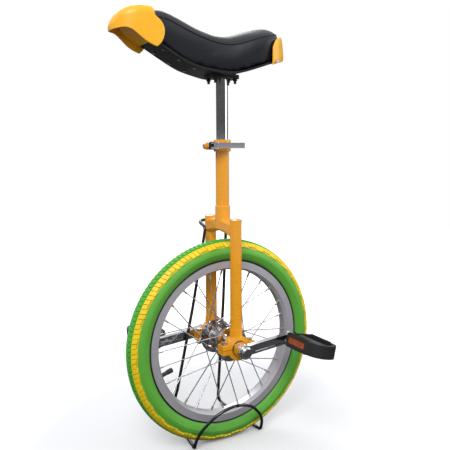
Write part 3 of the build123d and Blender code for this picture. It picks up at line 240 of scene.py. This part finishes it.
# ================================================================ finishes
def finish(name, colour, roughness, metallic=0.0, drift=0.1, scale=30.0, marks=0.5, skin=(900.0, 0.5),
           bump=0.1, depth=0.0002, rings=0.0, coat=0.0, sheen=0.0, specular=0.5):
    """A material from the shared groups: drifting colour, dull marks, and a bump of grain or rings."""
    made = bpy.data.materials.new(name)
    made.use_nodes = True
    tree = made.node_tree
    shader = tree.nodes["Principled BSDF"]
    shader.inputs["Metallic"].default_value = metallic
    shader.inputs["Coat Weight"].default_value = coat
    shader.inputs["Coat Roughness"].default_value = 0.08
    shader.inputs["Sheen Weight"].default_value = sheen
    shader.inputs["Specular IOR Level"].default_value = specular
    aged = tree.nodes.new("ShaderNodeGroup")
    aged.node_tree = patina
    aged.inputs["Colour"].default_value = (*colour, 1)
    aged.inputs["Drift"].default_value = drift
    aged.inputs["Scale"].default_value = scale
    aged.inputs["Marks"].default_value = marks
    tree.links.new(aged.outputs["Colour"], shader.inputs["Base Color"])
    dull = maths(tree, "ADD", roughness, aged.outputs["Marks"], clamp=True)
    tree.links.new(dull, shader.inputs["Roughness"])
    surface = tree.nodes.new("ShaderNodeGroup")
    if rings:
        surface.node_tree = turned
        surface.inputs["Rings"].default_value = rings
        surface.inputs["Height of axle"].default_value = axle_z
    else:
        surface.node_tree = grain
        surface.inputs["Scale"].default_value = skin[0]
        surface.inputs["Pebble"].default_value = skin[1]
    relief = tree.nodes.new("ShaderNodeBump")
    relief.inputs["Strength"].default_value = bump
    relief.inputs["Distance"].default_value = depth
    tree.links.new(surface.outputs["Height"], relief.inputs["Height"])
    tree.links.new(relief.outputs["Normal"], shader.inputs["Normal"])
    return made


yellow_paint = finish("yellow_powder_coat", (0.90, 0.37, 0.012), 0.26, drift=0.05, skin=(700, 0.1),
                      bump=0.12, coat=0.5)
yellow_plastic = finish("yellow_moulded_plastic", (0.95, 0.46, 0.015), 0.30, drift=0.05, skin=(1400, 0.4),
                        bump=0.12)
chrome = finish("polished_chrome", (0.76, 0.77, 0.80), 0.07, 1.0, drift=0.03, marks=0.35, bump=0.02,
                depth=0.0001)
hub_chrome = finish("turned_chrome", (0.66, 0.67, 0.69), 0.14, 1.0, drift=0.04, marks=0.4, rings=2600,
                    bump=0.10)
ground_steel = finish("ground_steel", (0.52, 0.52, 0.54), 0.25, 1.0, drift=0.08, rings=3200, bump=0.15)
zinc_steel = finish("zinc_plate", (0.62, 0.62, 0.60), 0.32, 1.0, drift=0.12, scale=120, marks=0.8, bump=0.10)
spoke_steel = finish("drawn_wire", (0.60, 0.60, 0.62), 0.24, 1.0, drift=0.08, scale=60, bump=0.05)
rim_alloy = finish("satin_rim_alloy", (0.68, 0.67, 0.72), 0.34, 0.6, drift=0.06, rings=3000, bump=0.18)
nickel_brass = finish("nickelled_brass", (0.70, 0.68, 0.60), 0.25, 1.0, drift=0.1, scale=200, bump=0.08)
bearing_black = finish("seal_rubber", (0.025, 0.025, 0.027), 0.55, skin=(1600, 0.5), bump=0.2)
valve_rubber = finish("valve_rubber", (0.022, 0.022, 0.024), 0.50, skin=(1500, 0.5), bump=0.25)
black_plastic = finish("black_pedal_plastic", (0.020, 0.020, 0.022), 0.38, skin=(1300, 0.8), bump=0.30)
base_plastic = finish("black_base_plastic", (0.010, 0.010, 0.012), 0.46, skin=(1100, 0.9), bump=0.22,
                      specular=0.35)
black_wire = finish("black_enamel", (0.012, 0.012, 0.014), 0.18, drift=0.04, skin=(500, 0.1), bump=0.08,
                    coat=0.6)
vinyl = finish("black_vinyl", (0.010, 0.011, 0.016), 0.36, drift=0.08, marks=0.25, skin=(1250, 1.2),
               bump=0.30, depth=0.00025, specular=0.42)
tube_rubber = finish("tube_rubber", (0.03, 0.03, 0.03), 0.6, bump=0.2)
tape_weave = finish("tape_weave", (0.75, 0.73, 0.66), 0.7, skin=(2500, 0.3), bump=0.3)
amber = finish("amber_reflector", (0.34, 0.055, 0.006), 0.18, skin=(420, 2.0), bump=0.6, depth=0.0006,
               coat=0.7)

coats = {
    yellow_paint: ("bearing_holder_left", "bearing_holder_right", "bearing_cap_left", "bearing_cap_right",
                   "leg_left", "leg_right", "fork_crown", "seat_tube", "seat_collar", "leg_plugs"),
    chrome: ("crank_left", "crank_right", "crank_nuts", "crank_caps", "seat_post", "clamp_lever", "clamp_nut",
             "clamp_skewer"),
    hub_chrome: ("hub_shell",),
    ground_steel: ("axle", "bearing_inner_races", "bearing_outer_races", "bearing_balls",
                   "pedal_spindle_left", "pedal_spindle_right"),
    zinc_steel: ("bearing_bolts", "bearing_washers", "bearing_nuts", "pedal_nut_left", "pedal_nut_right",
                 "bumper_screws", "cover_rivets"),
    spoke_steel: ("spokes_left", "spokes_right"),
    rim_alloy: ("rim",),
    nickel_brass: ("spoke_nipples",),
    bearing_black: ("bearing_seals", "clamp_pad"),
    valve_rubber: ("valve_stem", "valve_cap"),
    black_plastic: ("pedal_body_left", "pedal_body_right", "pedal_cap_left", "pedal_cap_right",
                    "pedal_bushings_left", "pedal_bushings_right"),
    base_plastic: ("saddle_base", "saddle_bracket", "saddle_studs", "saddle_nuts"),
    tube_rubber: ("inner_tube",),
    tape_weave: ("rim_tape",),
    amber: ("pedal_reflectors_left", "pedal_reflectors_right"),
}
for coat, names in coats.items():
    for name in names:
        for holder in nodes[name].material_slots:
            holder.material = coat


# ================================================================ shape tools
def grid_faces(rows, columns, wrap_rows=False, wrap_columns=False):
    """Quads that join each point of a rows by columns grid to the next one both ways."""
    row = np.arange(rows if wrap_rows else rows - 1)[:, None]
    column = np.arange(columns if wrap_columns else columns - 1)[None, :]
    next_row = (row + 1) % rows
    next_column = (column + 1) % columns
    corners = (row * columns + column, row * columns + next_column,
               next_row * columns + next_column, next_row * columns + column)
    return np.stack(corners, axis=-1).reshape(-1, 4)


def new_piece(name, points, faces, material, body, closed=True):
    """A smooth mesh object from points and quads, welded, facing outwards, riding on a body."""
    mesh = bpy.data.meshes.new(name)
    mesh.from_pydata(points.reshape(-1, 3).tolist(), [], faces.tolist())
    work = bmesh.new()
    work.from_mesh(mesh)
    bmesh.ops.remove_doubles(work, verts=work.verts, dist=1e-6)
    bmesh.ops.dissolve_degenerate(work, edges=work.edges, dist=1e-7)
    if closed:
        bmesh.ops.recalc_face_normals(work, faces=work.faces)
    work.to_mesh(mesh)
    work.free()
    mesh.shade_smooth()
    mesh.materials.append(material)
    piece = bpy.data.objects.new(name, mesh)
    bpy.context.scene.collection.objects.link(piece)
    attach(piece, body)
    return piece


def curve_through(places, values):
    """Natural cubic curve through the values at rising places, as a function of place."""
    places = np.asarray(places, float)
    values = np.asarray(values, float)
    gaps = np.diff(places)
    slopes = np.diff(values, axis=0) / gaps.reshape(-1, *[1] * (values.ndim - 1))
    count = len(places)
    system = np.eye(count)
    inner = np.arange(1, count - 1)
    system[inner, inner - 1] = gaps[:-1]
    system[inner, inner] = 2 * (gaps[:-1] + gaps[1:])
    system[inner, inner + 1] = gaps[1:]
    right = np.zeros_like(values)
    right[1:-1] = 6 * np.diff(slopes, axis=0)
    bend = np.linalg.solve(system, right)

    def at(place):
        place = np.clip(place, places[0], places[-1])
        i = np.clip(np.searchsorted(places, place) - 1, 0, count - 2)
        shape = place.shape + (1,) * (values.ndim - 1)
        h = gaps[i].reshape(shape)
        a = ((places[i + 1] - place) / gaps[i]).reshape(shape)
        b = 1 - a
        bowed = ((a**3 - a) * bend[i] + (b**3 - b) * bend[i + 1]) * h**2 / 6
        return a * values[i] + b * values[i + 1] + bowed

    return at


def half_outline(points):
    """A plan outline from its nose to its far end, as a function of the distance run, with its length."""
    points = np.asarray(points, float)
    mirror = points * (1, -1)
    extended = np.vstack((mirror[2:0:-1], points, mirror[-2:-4:-1]))
    run = np.concatenate(([0], np.cumsum(np.hypot(*np.diff(extended, axis=0).T))))
    run -= run[2]
    return curve_through(run, extended), run[1 + len(points)]


def tube_along(path, radius, sides=16, closed=False):
    """Points of a round tube: rings square to the path, turned from one fixed direction."""
    if closed:
        ahead = np.roll(path, -1, axis=0) - np.roll(path, 1, axis=0)
    else:
        ahead = np.gradient(path, axis=0)
    ahead /= np.linalg.norm(ahead, axis=1, keepdims=True)
    first = np.cross(ahead, (0.65, -0.54, 0.54))
    first /= np.linalg.norm(first, axis=1, keepdims=True)
    second = np.cross(ahead, first)
    turn = np.linspace(0, 2 * np.pi, sides, endpoint=False)
    ring = np.cos(turn)[None, :, None] * first[:, None, :] + np.sin(turn)[None, :, None] * second[:, None, :]
    return path[:, None, :] + radius * ring


def ramp_up(value, low, high):
    """0 below low, 1 above high, straight between."""
    return np.clip((value - low) / (high - low), 0, 1)


# ================================================================ tyre
tyre_ring = 179.2          # middle of the tyre's round section from the axle
tread_radius = 22.3
knob_height = 2.0
half_pitches = 132         # tread blocks round the wheel in one centre row
band_edge = 64.5           # section angle in degrees where the yellow band ends
band_wave = 1.6


def make_tyre():
    """Wheel-section angle phi by turn theta: the radius is a round casing plus blocks.

    A block is a product of two trapezoids, one across the tread and one along it. The centre rows
    and the shoulder rows are half a pitch apart, every second shoulder gap is a shallow sipe, and
    the grid leans backwards with phi so that the blocks point in a shallow arrow. The section
    then dips behind the rim's edge to a bead and comes back along the inside of the casing.
    """
    side = np.array([0, 1.8, 4.2, 11, 19, 25.5, 28, 31, 33.5, 41, 50, 57, 60, 65, 68, 71, 77, 84, 91, 96, 98,
                     100, 102, 109, 117, 124, 129, 131, 134, 138, 142], float)
    phi = np.radians(np.concatenate((-side[:0:-1], side)))[:, None]
    steps = np.array([0, 0.1, 0.17, 0.40, 0.45, 0.55, 0.60, 0.83, 0.9])
    along = (np.arange(half_pitches)[:, None] + steps[None, :]).reshape(1, -1)
    lean = 0.9 * np.abs(np.degrees(phi)) / 70
    lean = np.where(lean > 1.0, 1.0, lean)
    theta = (along + lean) * 2 * np.pi / half_pitches
    share = along % 1
    number = np.floor(along + 0.5)
    width = np.abs(np.degrees(phi))
    ends = ramp_up(np.minimum(share, 1 - share), 0.1, 0.17)
    centre = ramp_up(width, 1.8, 4.2) * (1 - ramp_up(width, 25.5, 28)) * ends
    reach = np.where((np.floor(number / 2) % 2) == 0, 68.0, 60.0)
    shallow = np.where(number % 2 == 0, 1.0, 0.45)
    gap = 1 - ramp_up(np.abs(share - 0.5), 0.05, 0.10)
    shoulder = ramp_up(width, 31, 33.5) * (1 - ramp_up(width, reach - 3, reach + 0.5)) * (1 - gap * shallow)
    relief = np.maximum(centre, shoulder)
    casing = tread_radius - knob_height + 1.6 * ramp_up(width, 70, 86) ** 2
    ribs = 0.45 * np.exp(-((width - 98) / 1.6) ** 2) + 0.3 * np.exp(-((width - 129) / 2.0) ** 2)
    section = casing + knob_height * relief + ribs
    out = tyre_ring + section * np.cos(phi)
    sideways = section * np.sin(phi) + 0 * along
    blocks = np.arange(-2, half_pitches + 3)
    wave = curve_through(blocks, band_edge + band_wave * np.cos(np.pi * blocks / 2))
    border = wave(along[0])[None, :]
    yellow = ramp_up(width, 28, 30) * (1 - ramp_up(width, border, border + 4))
    black = ramp_up(width, 134, 138)
    bead = np.array([(13.05, 159.0), (13.05, 152.2), (11.8, 151.5), (9.9, 152.2), (9.8, 157.5)])
    inner_phi = np.radians(np.array([140, 100, 50, 0, -50, -100, -140], float))
    inner = np.stack((18.6 * np.sin(inner_phi), tyre_ring + 18.6 * np.cos(inner_phi)), axis=1)
    rest = np.vstack((bead, inner, bead[::-1] * (-1, 1)))
    out = np.vstack((out, rest[:, 1:] + 0 * along))
    sideways = np.vstack((sideways, rest[:, :1] + 0 * along))
    theta = np.vstack((theta + 0 * along, theta[-1:] + np.zeros((len(rest), 1))))
    points = np.stack((out * np.cos(theta), sideways, axle_z / MM + out * np.sin(theta)), axis=-1) * MM
    rows, columns = theta.shape
    mesh = bpy.data.meshes.new("knobbly_tyre")
    faces = grid_faces(rows, columns, True, True)[:, ::-1]
    mesh.from_pydata(points.reshape(-1, 3).tolist(), [], faces.tolist())
    blank = np.zeros((len(rest), columns))
    layers = (("relief", relief, blank), ("yellow", yellow, blank), ("black", black + 0 * along, blank + 1))
    for label, layer, tail in layers:
        store = mesh.attributes.new(label, "FLOAT", "POINT")
        store.data.foreach_set("value", np.vstack((layer, tail)).astype(np.float32).ravel())
    mesh.shade_smooth()
    mesh.set_sharp_from_angle(angle=math.radians(38))
    mesh.materials.append(make_tyre_rubber())
    tyre = bpy.data.objects.new("knobbly_tyre", mesh)
    bpy.context.scene.collection.objects.link(tyre)
    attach(tyre, "wheel")
    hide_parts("tyre")


def make_tyre_rubber():
    """Green rubber with yellow shoulder bands and a black strip at the bead, with painted shade darkening the
    grooves between the blocks.
    """
    rubber = finish("two_colour_rubber", (0.075, 0.46, 0.05), 0.48, drift=0.10, scale=45, marks=0.5,
                    skin=(1500, 0.4), bump=0.25)
    tree = rubber.node_tree
    shader = tree.nodes["Principled BSDF"]
    green = next(n for n in tree.nodes if n.bl_idname == "ShaderNodeGroup" and n.node_tree == patina)
    layers = {}
    for label in ("relief", "yellow", "black"):
        layer = tree.nodes.new("ShaderNodeAttribute")
        layer.attribute_name = label
        layers[label] = layer.outputs["Fac"]
    bright = tree.nodes.new("ShaderNodeGroup")
    bright.node_tree = patina
    bright.inputs["Colour"].default_value = (0.90, 0.66, 0.012, 1)
    bright.inputs["Drift"].default_value = 0.16
    bright.inputs["Scale"].default_value = 60
    colour = mixed(tree, layers["yellow"], green.outputs["Colour"], bright.outputs["Colour"])
    # painted shade: the groove floors between the blocks are mixed towards a dark orange, more strongly on
    # the yellow band than on the green
    low = maths(tree, "SUBTRACT", 1.0, layers["relief"])
    groove_shade_weight = maths(tree, "ADD", 0.12, maths(tree, "MULTIPLY", layers["yellow"], 0.22))
    groove_shade = maths(tree, "MULTIPLY", low, groove_shade_weight)
    colour = mixed(tree, groove_shade, colour, (0.42, 0.22, 0.006, 1), "MIX")
    colour = mixed(tree, layers["black"], colour, (0.012, 0.012, 0.012, 1))
    tree.links.new(colour, shader.inputs["Base Color"])
    return rubber


make_tyre()

# ================================================================ saddle
cushion_top = curve_through(
    (-120, -111.5, -92, -70, -43, -22, 4, 25, 72, 108, 130, 142, 152, 164, 178, 192),
    (90, 92, 95, 93, 86, 79, 72, 73, 88, 102, 107, 105, 99.5, 96, 91, 82),
)
cushion_low = curve_through(
    (-119, -100, -60, -30, 0, 38, 75, 110, 150, 192),
    (37, 31, 18.5, 8.5, 1.2, 4, 12, 28, 50, 72),
)
base_thickness = 4.0
tail_slant = 0.16
spine_ends = (-60, 160)    # the crown runs between these places along the middle
saddle_plan = (
    (191.5, 0), (184, 21), (160, 31.5), (120, 33.5), (80, 35.5), (40, 42.5), (0, 54.5), (-40, 65.5),
    (-70, 66.5), (-92, 56.5), (-106.5, 39.5), (-117, 19.5), (-121, 0),
)
saddle_edge, saddle_run = half_outline(saddle_plan)


def tail_lean(x, z):
    """How far a point near the tail moves forwards for its height."""
    return tail_slant * (z - 37) * ramp_up(-x, 75, 115)


def cushion_points(shrink):
    """Closed crowned form: a plan outline drawn in to a spine, at heights from two side curves.

    Across the top the point runs from the spine to the outline as sin(a)^(2/n), and its height
    falls as cos(a)^(2/n); below the widest line the side tucks in and meets the base.
    """
    turns = 90
    run = np.linspace(0, saddle_run, turns)
    left = saddle_edge(run)
    loop = np.vstack((left, (left * (1, -1))[-2:0:-1]))
    spine = np.clip(loop[:, 0], *spine_ends)
    centre = np.stack((spine, 0 * spine), axis=1)
    outward = loop - centre
    reach = np.linalg.norm(outward, axis=1, keepdims=True)
    loop = centre + outward * (1 - shrink / reach)
    angle = np.linspace(0, np.pi / 2, 15)
    power = 2 / 2.7
    down = np.linspace(0, 1, 9)[1:]
    under = np.linspace(1, 0, 7)[1:]
    tuck = 0.93
    share = np.concatenate((np.sin(angle) ** power, 1 - (1 - tuck) * down ** 2, tuck * under))
    level = np.concatenate((np.cos(angle) ** power, -down, -np.ones(len(under))))
    flat = centre[:, None, :] + (loop - centre)[:, None, :] * share[None, :, None]
    x = flat[..., 0]
    top = cushion_top(x) - shrink
    low = cushion_low(x) + base_thickness + 0.4 + shrink * 0.2
    widest = low + 0.46 * (top - low)
    z = np.where(level >= 0, widest + (top - widest) * level, widest + (widest - low) * level)
    crown = 3.5 * (1 - np.clip(np.abs(flat[..., 1]) / 46, 0, 1) ** 2) * np.clip(level, 0, 1)
    dished = 2.5 * np.exp(-(flat[..., 1] / 9) ** 2) * np.exp(-((x - 60) / 90) ** 2) * np.clip(level, 0, 1)
    z = z + crown - 3.0 * np.clip(level, 0, 1) - dished
    x = x + tail_lean(x, z)
    return np.stack((x * MM, flat[..., 1] * MM, saddle_z + z * MM), axis=-1)


def puffed(piece, voxel, pressure, cap, hold_z):
    """Cloth blown up a little from inside, its low face held, no point moved further than cap."""
    work = bpy.context.view_layer
    work.objects.active = piece
    remesh = piece.modifiers.new("even_mesh", "REMESH")
    remesh.mode = "VOXEL"
    remesh.voxel_size = voxel
    remesh.use_smooth_shade = True
    graph = bpy.context.evaluated_depsgraph_get()
    even = bpy.data.meshes.new_from_object(piece.evaluated_get(graph))
    piece.modifiers.clear()
    piece.data = even
    count = len(even.vertices)
    rest = np.zeros(count * 3, np.float32)
    even.vertices.foreach_get("co", rest)
    rest = rest.reshape(-1, 3)
    normals = np.zeros(count * 3, np.float32)
    even.vertices.foreach_get("normal", normals)
    held = np.nonzero(normals.reshape(-1, 3)[:, 2] < hold_z)[0]
    group = piece.vertex_groups.new(name="held")
    group.add(held.tolist(), 1.0, "REPLACE")
    cloth = piece.modifiers.new("stuffing", "CLOTH")
    cloth.settings.quality = 6
    cloth.settings.mass = 0.25
    cloth.settings.tension_stiffness = 18
    cloth.settings.compression_stiffness = 12
    cloth.settings.shear_stiffness = 6
    cloth.settings.bending_stiffness = 0.8
    cloth.settings.use_pressure = True
    cloth.settings.uniform_pressure_force = pressure
    cloth.settings.vertex_group_mass = "held"
    cloth.settings.effector_weights.gravity = 0
    cloth.collision_settings.use_collision = False
    cloth.point_cache.frame_start = 1
    cloth.point_cache.frame_end = 20
    scene = bpy.context.scene
    for frame_number in range(1, 21):
        scene.frame_set(frame_number)
    graph = bpy.context.evaluated_depsgraph_get()
    blown = piece.evaluated_get(graph).to_mesh()
    moved = np.zeros(count * 3, np.float32)
    blown.vertices.foreach_get("co", moved)
    shift = moved.reshape(-1, 3) - rest
    length = np.linalg.norm(shift, axis=1, keepdims=True)
    shift *= np.minimum(1, cap / np.maximum(length, 1e-9))
    piece.evaluated_get(graph).to_mesh_clear()
    piece.modifiers.clear()
    scene.frame_set(1)
    even.vertices.foreach_set("co", (rest + shift).astype(np.float32).ravel())
    even.update()


cushion_grid = cushion_points(2.2)
cushion_faces = grid_faces(*cushion_grid.shape[:2], True, False)
cushion = new_piece("saddle_cushion", cushion_grid, cushion_faces, vinyl, "seat")
puffed(cushion, 0.005, 4.0, 0.0032, -0.6)
cushion.data.shade_smooth()
if not cushion.data.materials:
    cushion.data.materials.append(vinyl)
smooth = cushion.modifiers.new("soft_surface", "SUBSURF")
smooth.levels = smooth.render_levels = 1
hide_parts("saddle_cover", "saddle_foam")


# front handle and rear bumper: moulded shells with round edges
def shell(name, points, material, wall):
    """An open skin thickened inwards by wall, its rim rounded by two levels of subdivision."""
    faces = grid_faces(*points.shape[:2])[:, ::-1]
    piece = new_piece(name, points, faces, material, "seat", False)
    thick = piece.modifiers.new("wall", "SOLIDIFY")
    thick.thickness = wall
    thick.offset = -1
    thick.use_even_offset = True
    soft = piece.modifiers.new("round_edges", "SUBSURF")
    soft.levels = soft.render_levels = 2
    return piece


handle_top = curve_through(
    (120, 139, 155, 171, 190, 201, 208, 212.5),
    (103, 104, 104.5, 104, 99.5, 92, 83, 76),
)
handle_low = curve_through((138, 147, 158, 169, 181, 192, 203, 212.5), (34, 37, 41, 47, 57, 64.5, 65.5, 64))
handle_rear = curve_through((0, 0.15, 0.35, 0.55, 0.8, 1), (150, 139, 133, 133, 138.5, 147))
handle_plan = ((212.5, 0), (206, 19), (190, 32), (150, 38.2), (128, 39), (100, 39), (90, 39))
handle_edge, handle_run = half_outline(handle_plan)


def handle_points():
    """Half rows run from the nose back to the rear edge; columns run from the top's middle down the side."""
    rows = 40
    angle = np.linspace(0, np.pi / 2, 14)
    down = np.linspace(0, 1, 16)[1:]
    power = 2 / 3.0
    share = np.concatenate((np.sin(angle) ** power, np.ones(len(down))))[None, :]
    level = np.concatenate((np.cos(angle) ** power, np.zeros(len(down))))[None, :]
    wall = np.concatenate((np.zeros(len(angle)), down))
    table = np.linspace(0, handle_run, 400)
    table_x = handle_edge(table)[:, 0]
    rear_x = handle_rear(wall) + 12 * (1 - share[0] ** 2)
    last = np.interp(-rear_x, -table_x, table)
    run = np.linspace(0, 1, rows)[:, None] ** 1.1 * last[None, :]
    edge = handle_edge(run.ravel()).reshape(rows, -1, 2)
    spine = np.minimum(edge[..., 0], 176)
    x = spine + (edge[..., 0] - spine) * share
    y = edge[..., 1] * share
    corner = 16 - 9 * ramp_up(edge[..., 0], 183, 212)
    high = handle_top(x) - corner * (1 - level)
    low = handle_low(x)
    z = high + (low - high) * wall[None, :]
    left = np.stack((x, y, z), axis=-1)
    right = (left * (1, -1, 1))[:, :0:-1]
    full = np.concatenate((right, left), axis=1)
    return full * MM + (0, 0, saddle_z)


cup_start = 150            # the handle's inner cup holds the saddle's nose from here forwards
cup_height = 13
cup_gap = 0.8


def cup_points():
    """Skin under the nose of the base, from its middle to its edge and then up round the cushion."""
    table = np.linspace(0, saddle_run, 400)
    last = np.interp(-cup_start, -saddle_edge(table)[:, 0], table)
    edge = saddle_edge(np.linspace(0, last, 30))
    share = np.concatenate((np.linspace(0, 1, 12), np.ones(8)))[None, :]
    climb = np.concatenate((np.zeros(12), np.linspace(0, 1, 9)[1:]))[None, :]
    rim_x = edge[:, :1] + 2.5 * ramp_up(edge[:, :1], 170, 190)
    spine = np.minimum(rim_x, 172)
    x = spine + (rim_x - spine) * share
    y = (edge[:, 1:] + cup_gap) * share
    z = cushion_low(x) - cup_gap + cup_height * climb
    left = np.stack((x, y, z), axis=-1)
    right = (left * (1, -1, 1))[:, :0:-1]
    return np.concatenate((right, left), axis=1) * MM + (0, 0, saddle_z)


shell("front_handle_cup", cup_points()[::-1], yellow_plastic, 1.4 * MM)
front = shell("front_handle_shell", handle_points(), yellow_plastic, 3.4 * MM)
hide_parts("front_handle")

bumper_high = curve_through((-128, -117.5, -100, -84, -72, -65, -55), (79, 76.5, 72.5, 68, 62.5, 56, 50))
bumper_low = curve_through((-128, -123.5, -100, -66, -55), (37, 36, 28.5, 18, 14))


def bumper_points():
    """A band round the tail: rows follow the outline, columns climb from the low edge to the high one."""
    climb = np.linspace(0, 1, 17)
    front_x = -66 - 9 * ramp_up(climb, 0.72, 1.0) ** 2
    table = np.linspace(0, saddle_run, 500)
    table_x = saddle_edge(table)[:, 0]
    first = np.interp(-front_x, -table_x, table)
    run = first[None, :] + np.linspace(0, 1, 44)[:, None] * (saddle_run - first)[None, :]
    edge = saddle_edge(run.ravel()).reshape(*run.shape, 2)
    nearby = saddle_edge((run + 0.5).ravel().clip(0, saddle_run)).reshape(edge.shape)
    before = saddle_edge((run - 0.5).ravel()).reshape(edge.shape)
    ahead = nearby - before
    ahead /= np.linalg.norm(ahead, axis=2, keepdims=True)
    swell = (3.4 + 1.4 * (1 - (2 * climb - 1) ** 4))[None, :, None]
    outward = np.stack((-ahead[..., 1], ahead[..., 0]), axis=-1)
    outward *= np.where(outward[..., 1:] + 1e-9 < 0, -1, 1)
    flat = edge + outward * swell
    x = flat[..., 0]
    low = bumper_low(x)
    z = low + (bumper_high(x) - low) * climb[None, :]
    x = x + tail_lean(x, z)
    left = np.stack((x, flat[..., 1], z), axis=-1)
    left[-1, :, 1] = 0
    right = (left * (1, -1, 1))[-2::-1]
    full = np.concatenate((left, right), axis=0)
    return full * MM + (0, 0, saddle_z)


rear = shell("rear_bumper_shell", bumper_points(), yellow_plastic, 2.8 * MM)
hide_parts("rear_bumper")


# piping sewn round the top of the cushion
def make_piping():
    """A thin cord that follows the outline drawn in, moved to the nearest place on the cushion."""
    run = np.linspace(0, saddle_run, 120)
    left = saddle_edge(run)
    loop = np.vstack((left, (left * (1, -1))[-2:0:-1]))
    spine = np.clip(loop[:, 0], *spine_ends)
    centre = np.stack((spine, 0 * spine), axis=1)
    loop = centre + (loop - centre) * 0.93
    tree = BVHTree.FromObject(cushion, bpy.context.evaluated_depsgraph_get())
    high = cushion_top(loop[:, 0])
    low = cushion_low(loop[:, 0])
    level = low + 0.75 * (high - low)
    leaned = loop[:, 0] + tail_lean(loop[:, 0], level)
    guess = np.column_stack((leaned, loop[:, 1], level + saddle_z / MM)) * MM
    seat = [tree.find_nearest(Vector(place))[0] for place in guess]
    path = np.array(seat)
    for smoothing in range(6):
        path = 0.5 * path + 0.25 * (np.roll(path, 1, axis=0) + np.roll(path, -1, axis=0))
    points = tube_along(path, 1.5 * MM, 10, closed=True)
    faces = grid_faces(*points.shape[:2], True, True)
    return new_piece("saddle_piping", points, faces, vinyl, "seat")


make_piping()

# ================================================================ display stand
wire_radius = 3.0
arch_radius = 76.0
arch_lean = math.radians(20)
arch_corner = arch_radius * (math.sqrt(2) - 1)
upright_y = -66.0
axle_mm = axle_z / MM
hook_z = axle_mm + 232


def arch_point(across_x, climb):
    """Point of the leaning arch: across_x forwards, climb along its slope."""
    return (across_x, 18 + climb * math.sin(arch_lean), wire_radius + climb * math.cos(arch_lean))


stand_route = (
    ((0, -62.9, hook_z + 1), 0), ((21, -62.9, hook_z + 1), 16), ((23, -28, hook_z - 10), 9),
    ((33, upright_y, axle_mm + 58), 80), ((71, upright_y, axle_mm - 112), 14), ((48, -150, wire_radius), 10),
    (arch_point(arch_radius, 0), 9), (arch_point(arch_radius, arch_corner), arch_radius * 0.86),
    (arch_point(arch_corner, arch_radius + 8), arch_radius * 0.9),
    (arch_point(-arch_corner, arch_radius + 8), arch_radius * 0.9),
    (arch_point(-arch_radius, arch_corner), arch_radius * 0.86), (arch_point(-arch_radius, 0), 9),
    ((-70, -150, wire_radius), 10), ((-25, upright_y, axle_mm - 121), 14),
    ((-38, upright_y, axle_mm + 58), 80),
    ((-23.5, -28, hook_z - 10), 9), ((-21, -62.9, hook_z + 1), 16),
)


def rounded_route(route, per_bend=10):
    """A closed route whose corners are arcs: start + r (sin t along the way in + (1 - cos t) inwards)."""
    corners = np.array([corner for corner, radius in route], float)
    pieces = []
    for place, (corner, radius) in enumerate(route):
        corner = np.array(corner, float)
        way_in = corner - corners[place - 1]
        way_out = corners[(place + 1) % len(route)] - corner
        way_in /= np.linalg.norm(way_in)
        way_out /= np.linalg.norm(way_out)
        turn = math.acos(max(-1.0, min(1.0, float(way_in @ way_out))))
        if radius == 0 or turn < 1e-4:
            pieces.append(corner[None, :])
            continue
        inwards = way_out - way_in * (way_in @ way_out)
        inwards /= np.linalg.norm(inwards)
        start = corner - way_in * radius * math.tan(turn / 2)
        t = np.linspace(0, turn, per_bend)[:, None]
        pieces.append(start + radius * (np.sin(t) * way_in + (1 - np.cos(t)) * inwards))
    return np.vstack(pieces)


stand_points = tube_along(rounded_route(stand_route) * MM, wire_radius * MM, 20, closed=True)
stand_faces = grid_faces(*stand_points.shape[:2], True, True)
stand = new_piece("stand_bent_wire", stand_points, stand_faces, black_wire, "stand")
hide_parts("stand_wire")

# ================================================================ floor
floor_mesh = bpy.data.meshes.new("studio_floor")
floor_size = 3.0
floor_mesh.from_pydata(
    [(-floor_size, -floor_size, 0), (floor_size, -floor_size, 0), (floor_size, floor_size, 0),
     (-floor_size, floor_size, 0)], [], [(0, 1, 2, 3)])
sweep = bpy.data.materials.new("white_sweep")
sweep.use_nodes = True
tree = sweep.node_tree
tree.nodes.clear()
seen_paint = tree.nodes.new("ShaderNodeBsdfDiffuse")
seen_glow = tree.nodes.new("ShaderNodeEmission")
seen_sum = tree.nodes.new("ShaderNodeAddShader")
bounce_paint = tree.nodes.new("ShaderNodeBsdfDiffuse")
seen_mix = tree.nodes.new("ShaderNodeMixShader")
seen_path = tree.nodes.new("ShaderNodeLightPath")
sweep_out = tree.nodes.new("ShaderNodeOutputMaterial")
seen_paint.inputs["Color"].default_value = (0.78, 0.78, 0.80, 1)
place = tree.nodes.new("ShaderNodeTexCoord").outputs["Object"]
length = tree.nodes.new("ShaderNodeVectorMath")
length.operation = "LENGTH"
tree.links.new(place, length.inputs[0])
away = tree.nodes.new("ShaderNodeMapRange")
away.inputs["From Min"].default_value = 0.35
away.inputs["From Max"].default_value = 1.3
tree.links.new(length.outputs["Value"], away.inputs["Value"])
tree.links.new(maths(tree, "ADD", 0.08, maths(tree, "MULTIPLY", away.outputs["Result"], 0.9)),
               seen_glow.inputs["Strength"])
far = tree.nodes.new("ShaderNodeMapRange")
far.inputs["From Min"].default_value = 1.9
far.inputs["From Max"].default_value = 2.9
far.inputs["To Min"].default_value = 0.05
far.inputs["To Max"].default_value = 0.85
tree.links.new(length.outputs["Value"], far.inputs["Value"])
tree.links.new(far.outputs["Result"], bounce_paint.inputs["Color"])
tree.links.new(seen_paint.outputs[0], seen_sum.inputs[0])
tree.links.new(seen_glow.outputs[0], seen_sum.inputs[1])
tree.links.new(seen_path.outputs["Is Camera Ray"], seen_mix.inputs["Fac"])
tree.links.new(bounce_paint.outputs[0], seen_mix.inputs[1])
tree.links.new(seen_sum.outputs[0], seen_mix.inputs[2])
tree.links.new(seen_mix.outputs[0], sweep_out.inputs["Surface"])
floor_mesh.materials.append(sweep)
floor = bpy.data.objects.new("studio_floor", floor_mesh)
floor.location.z = -0.0004
bpy.context.scene.collection.objects.link(floor)
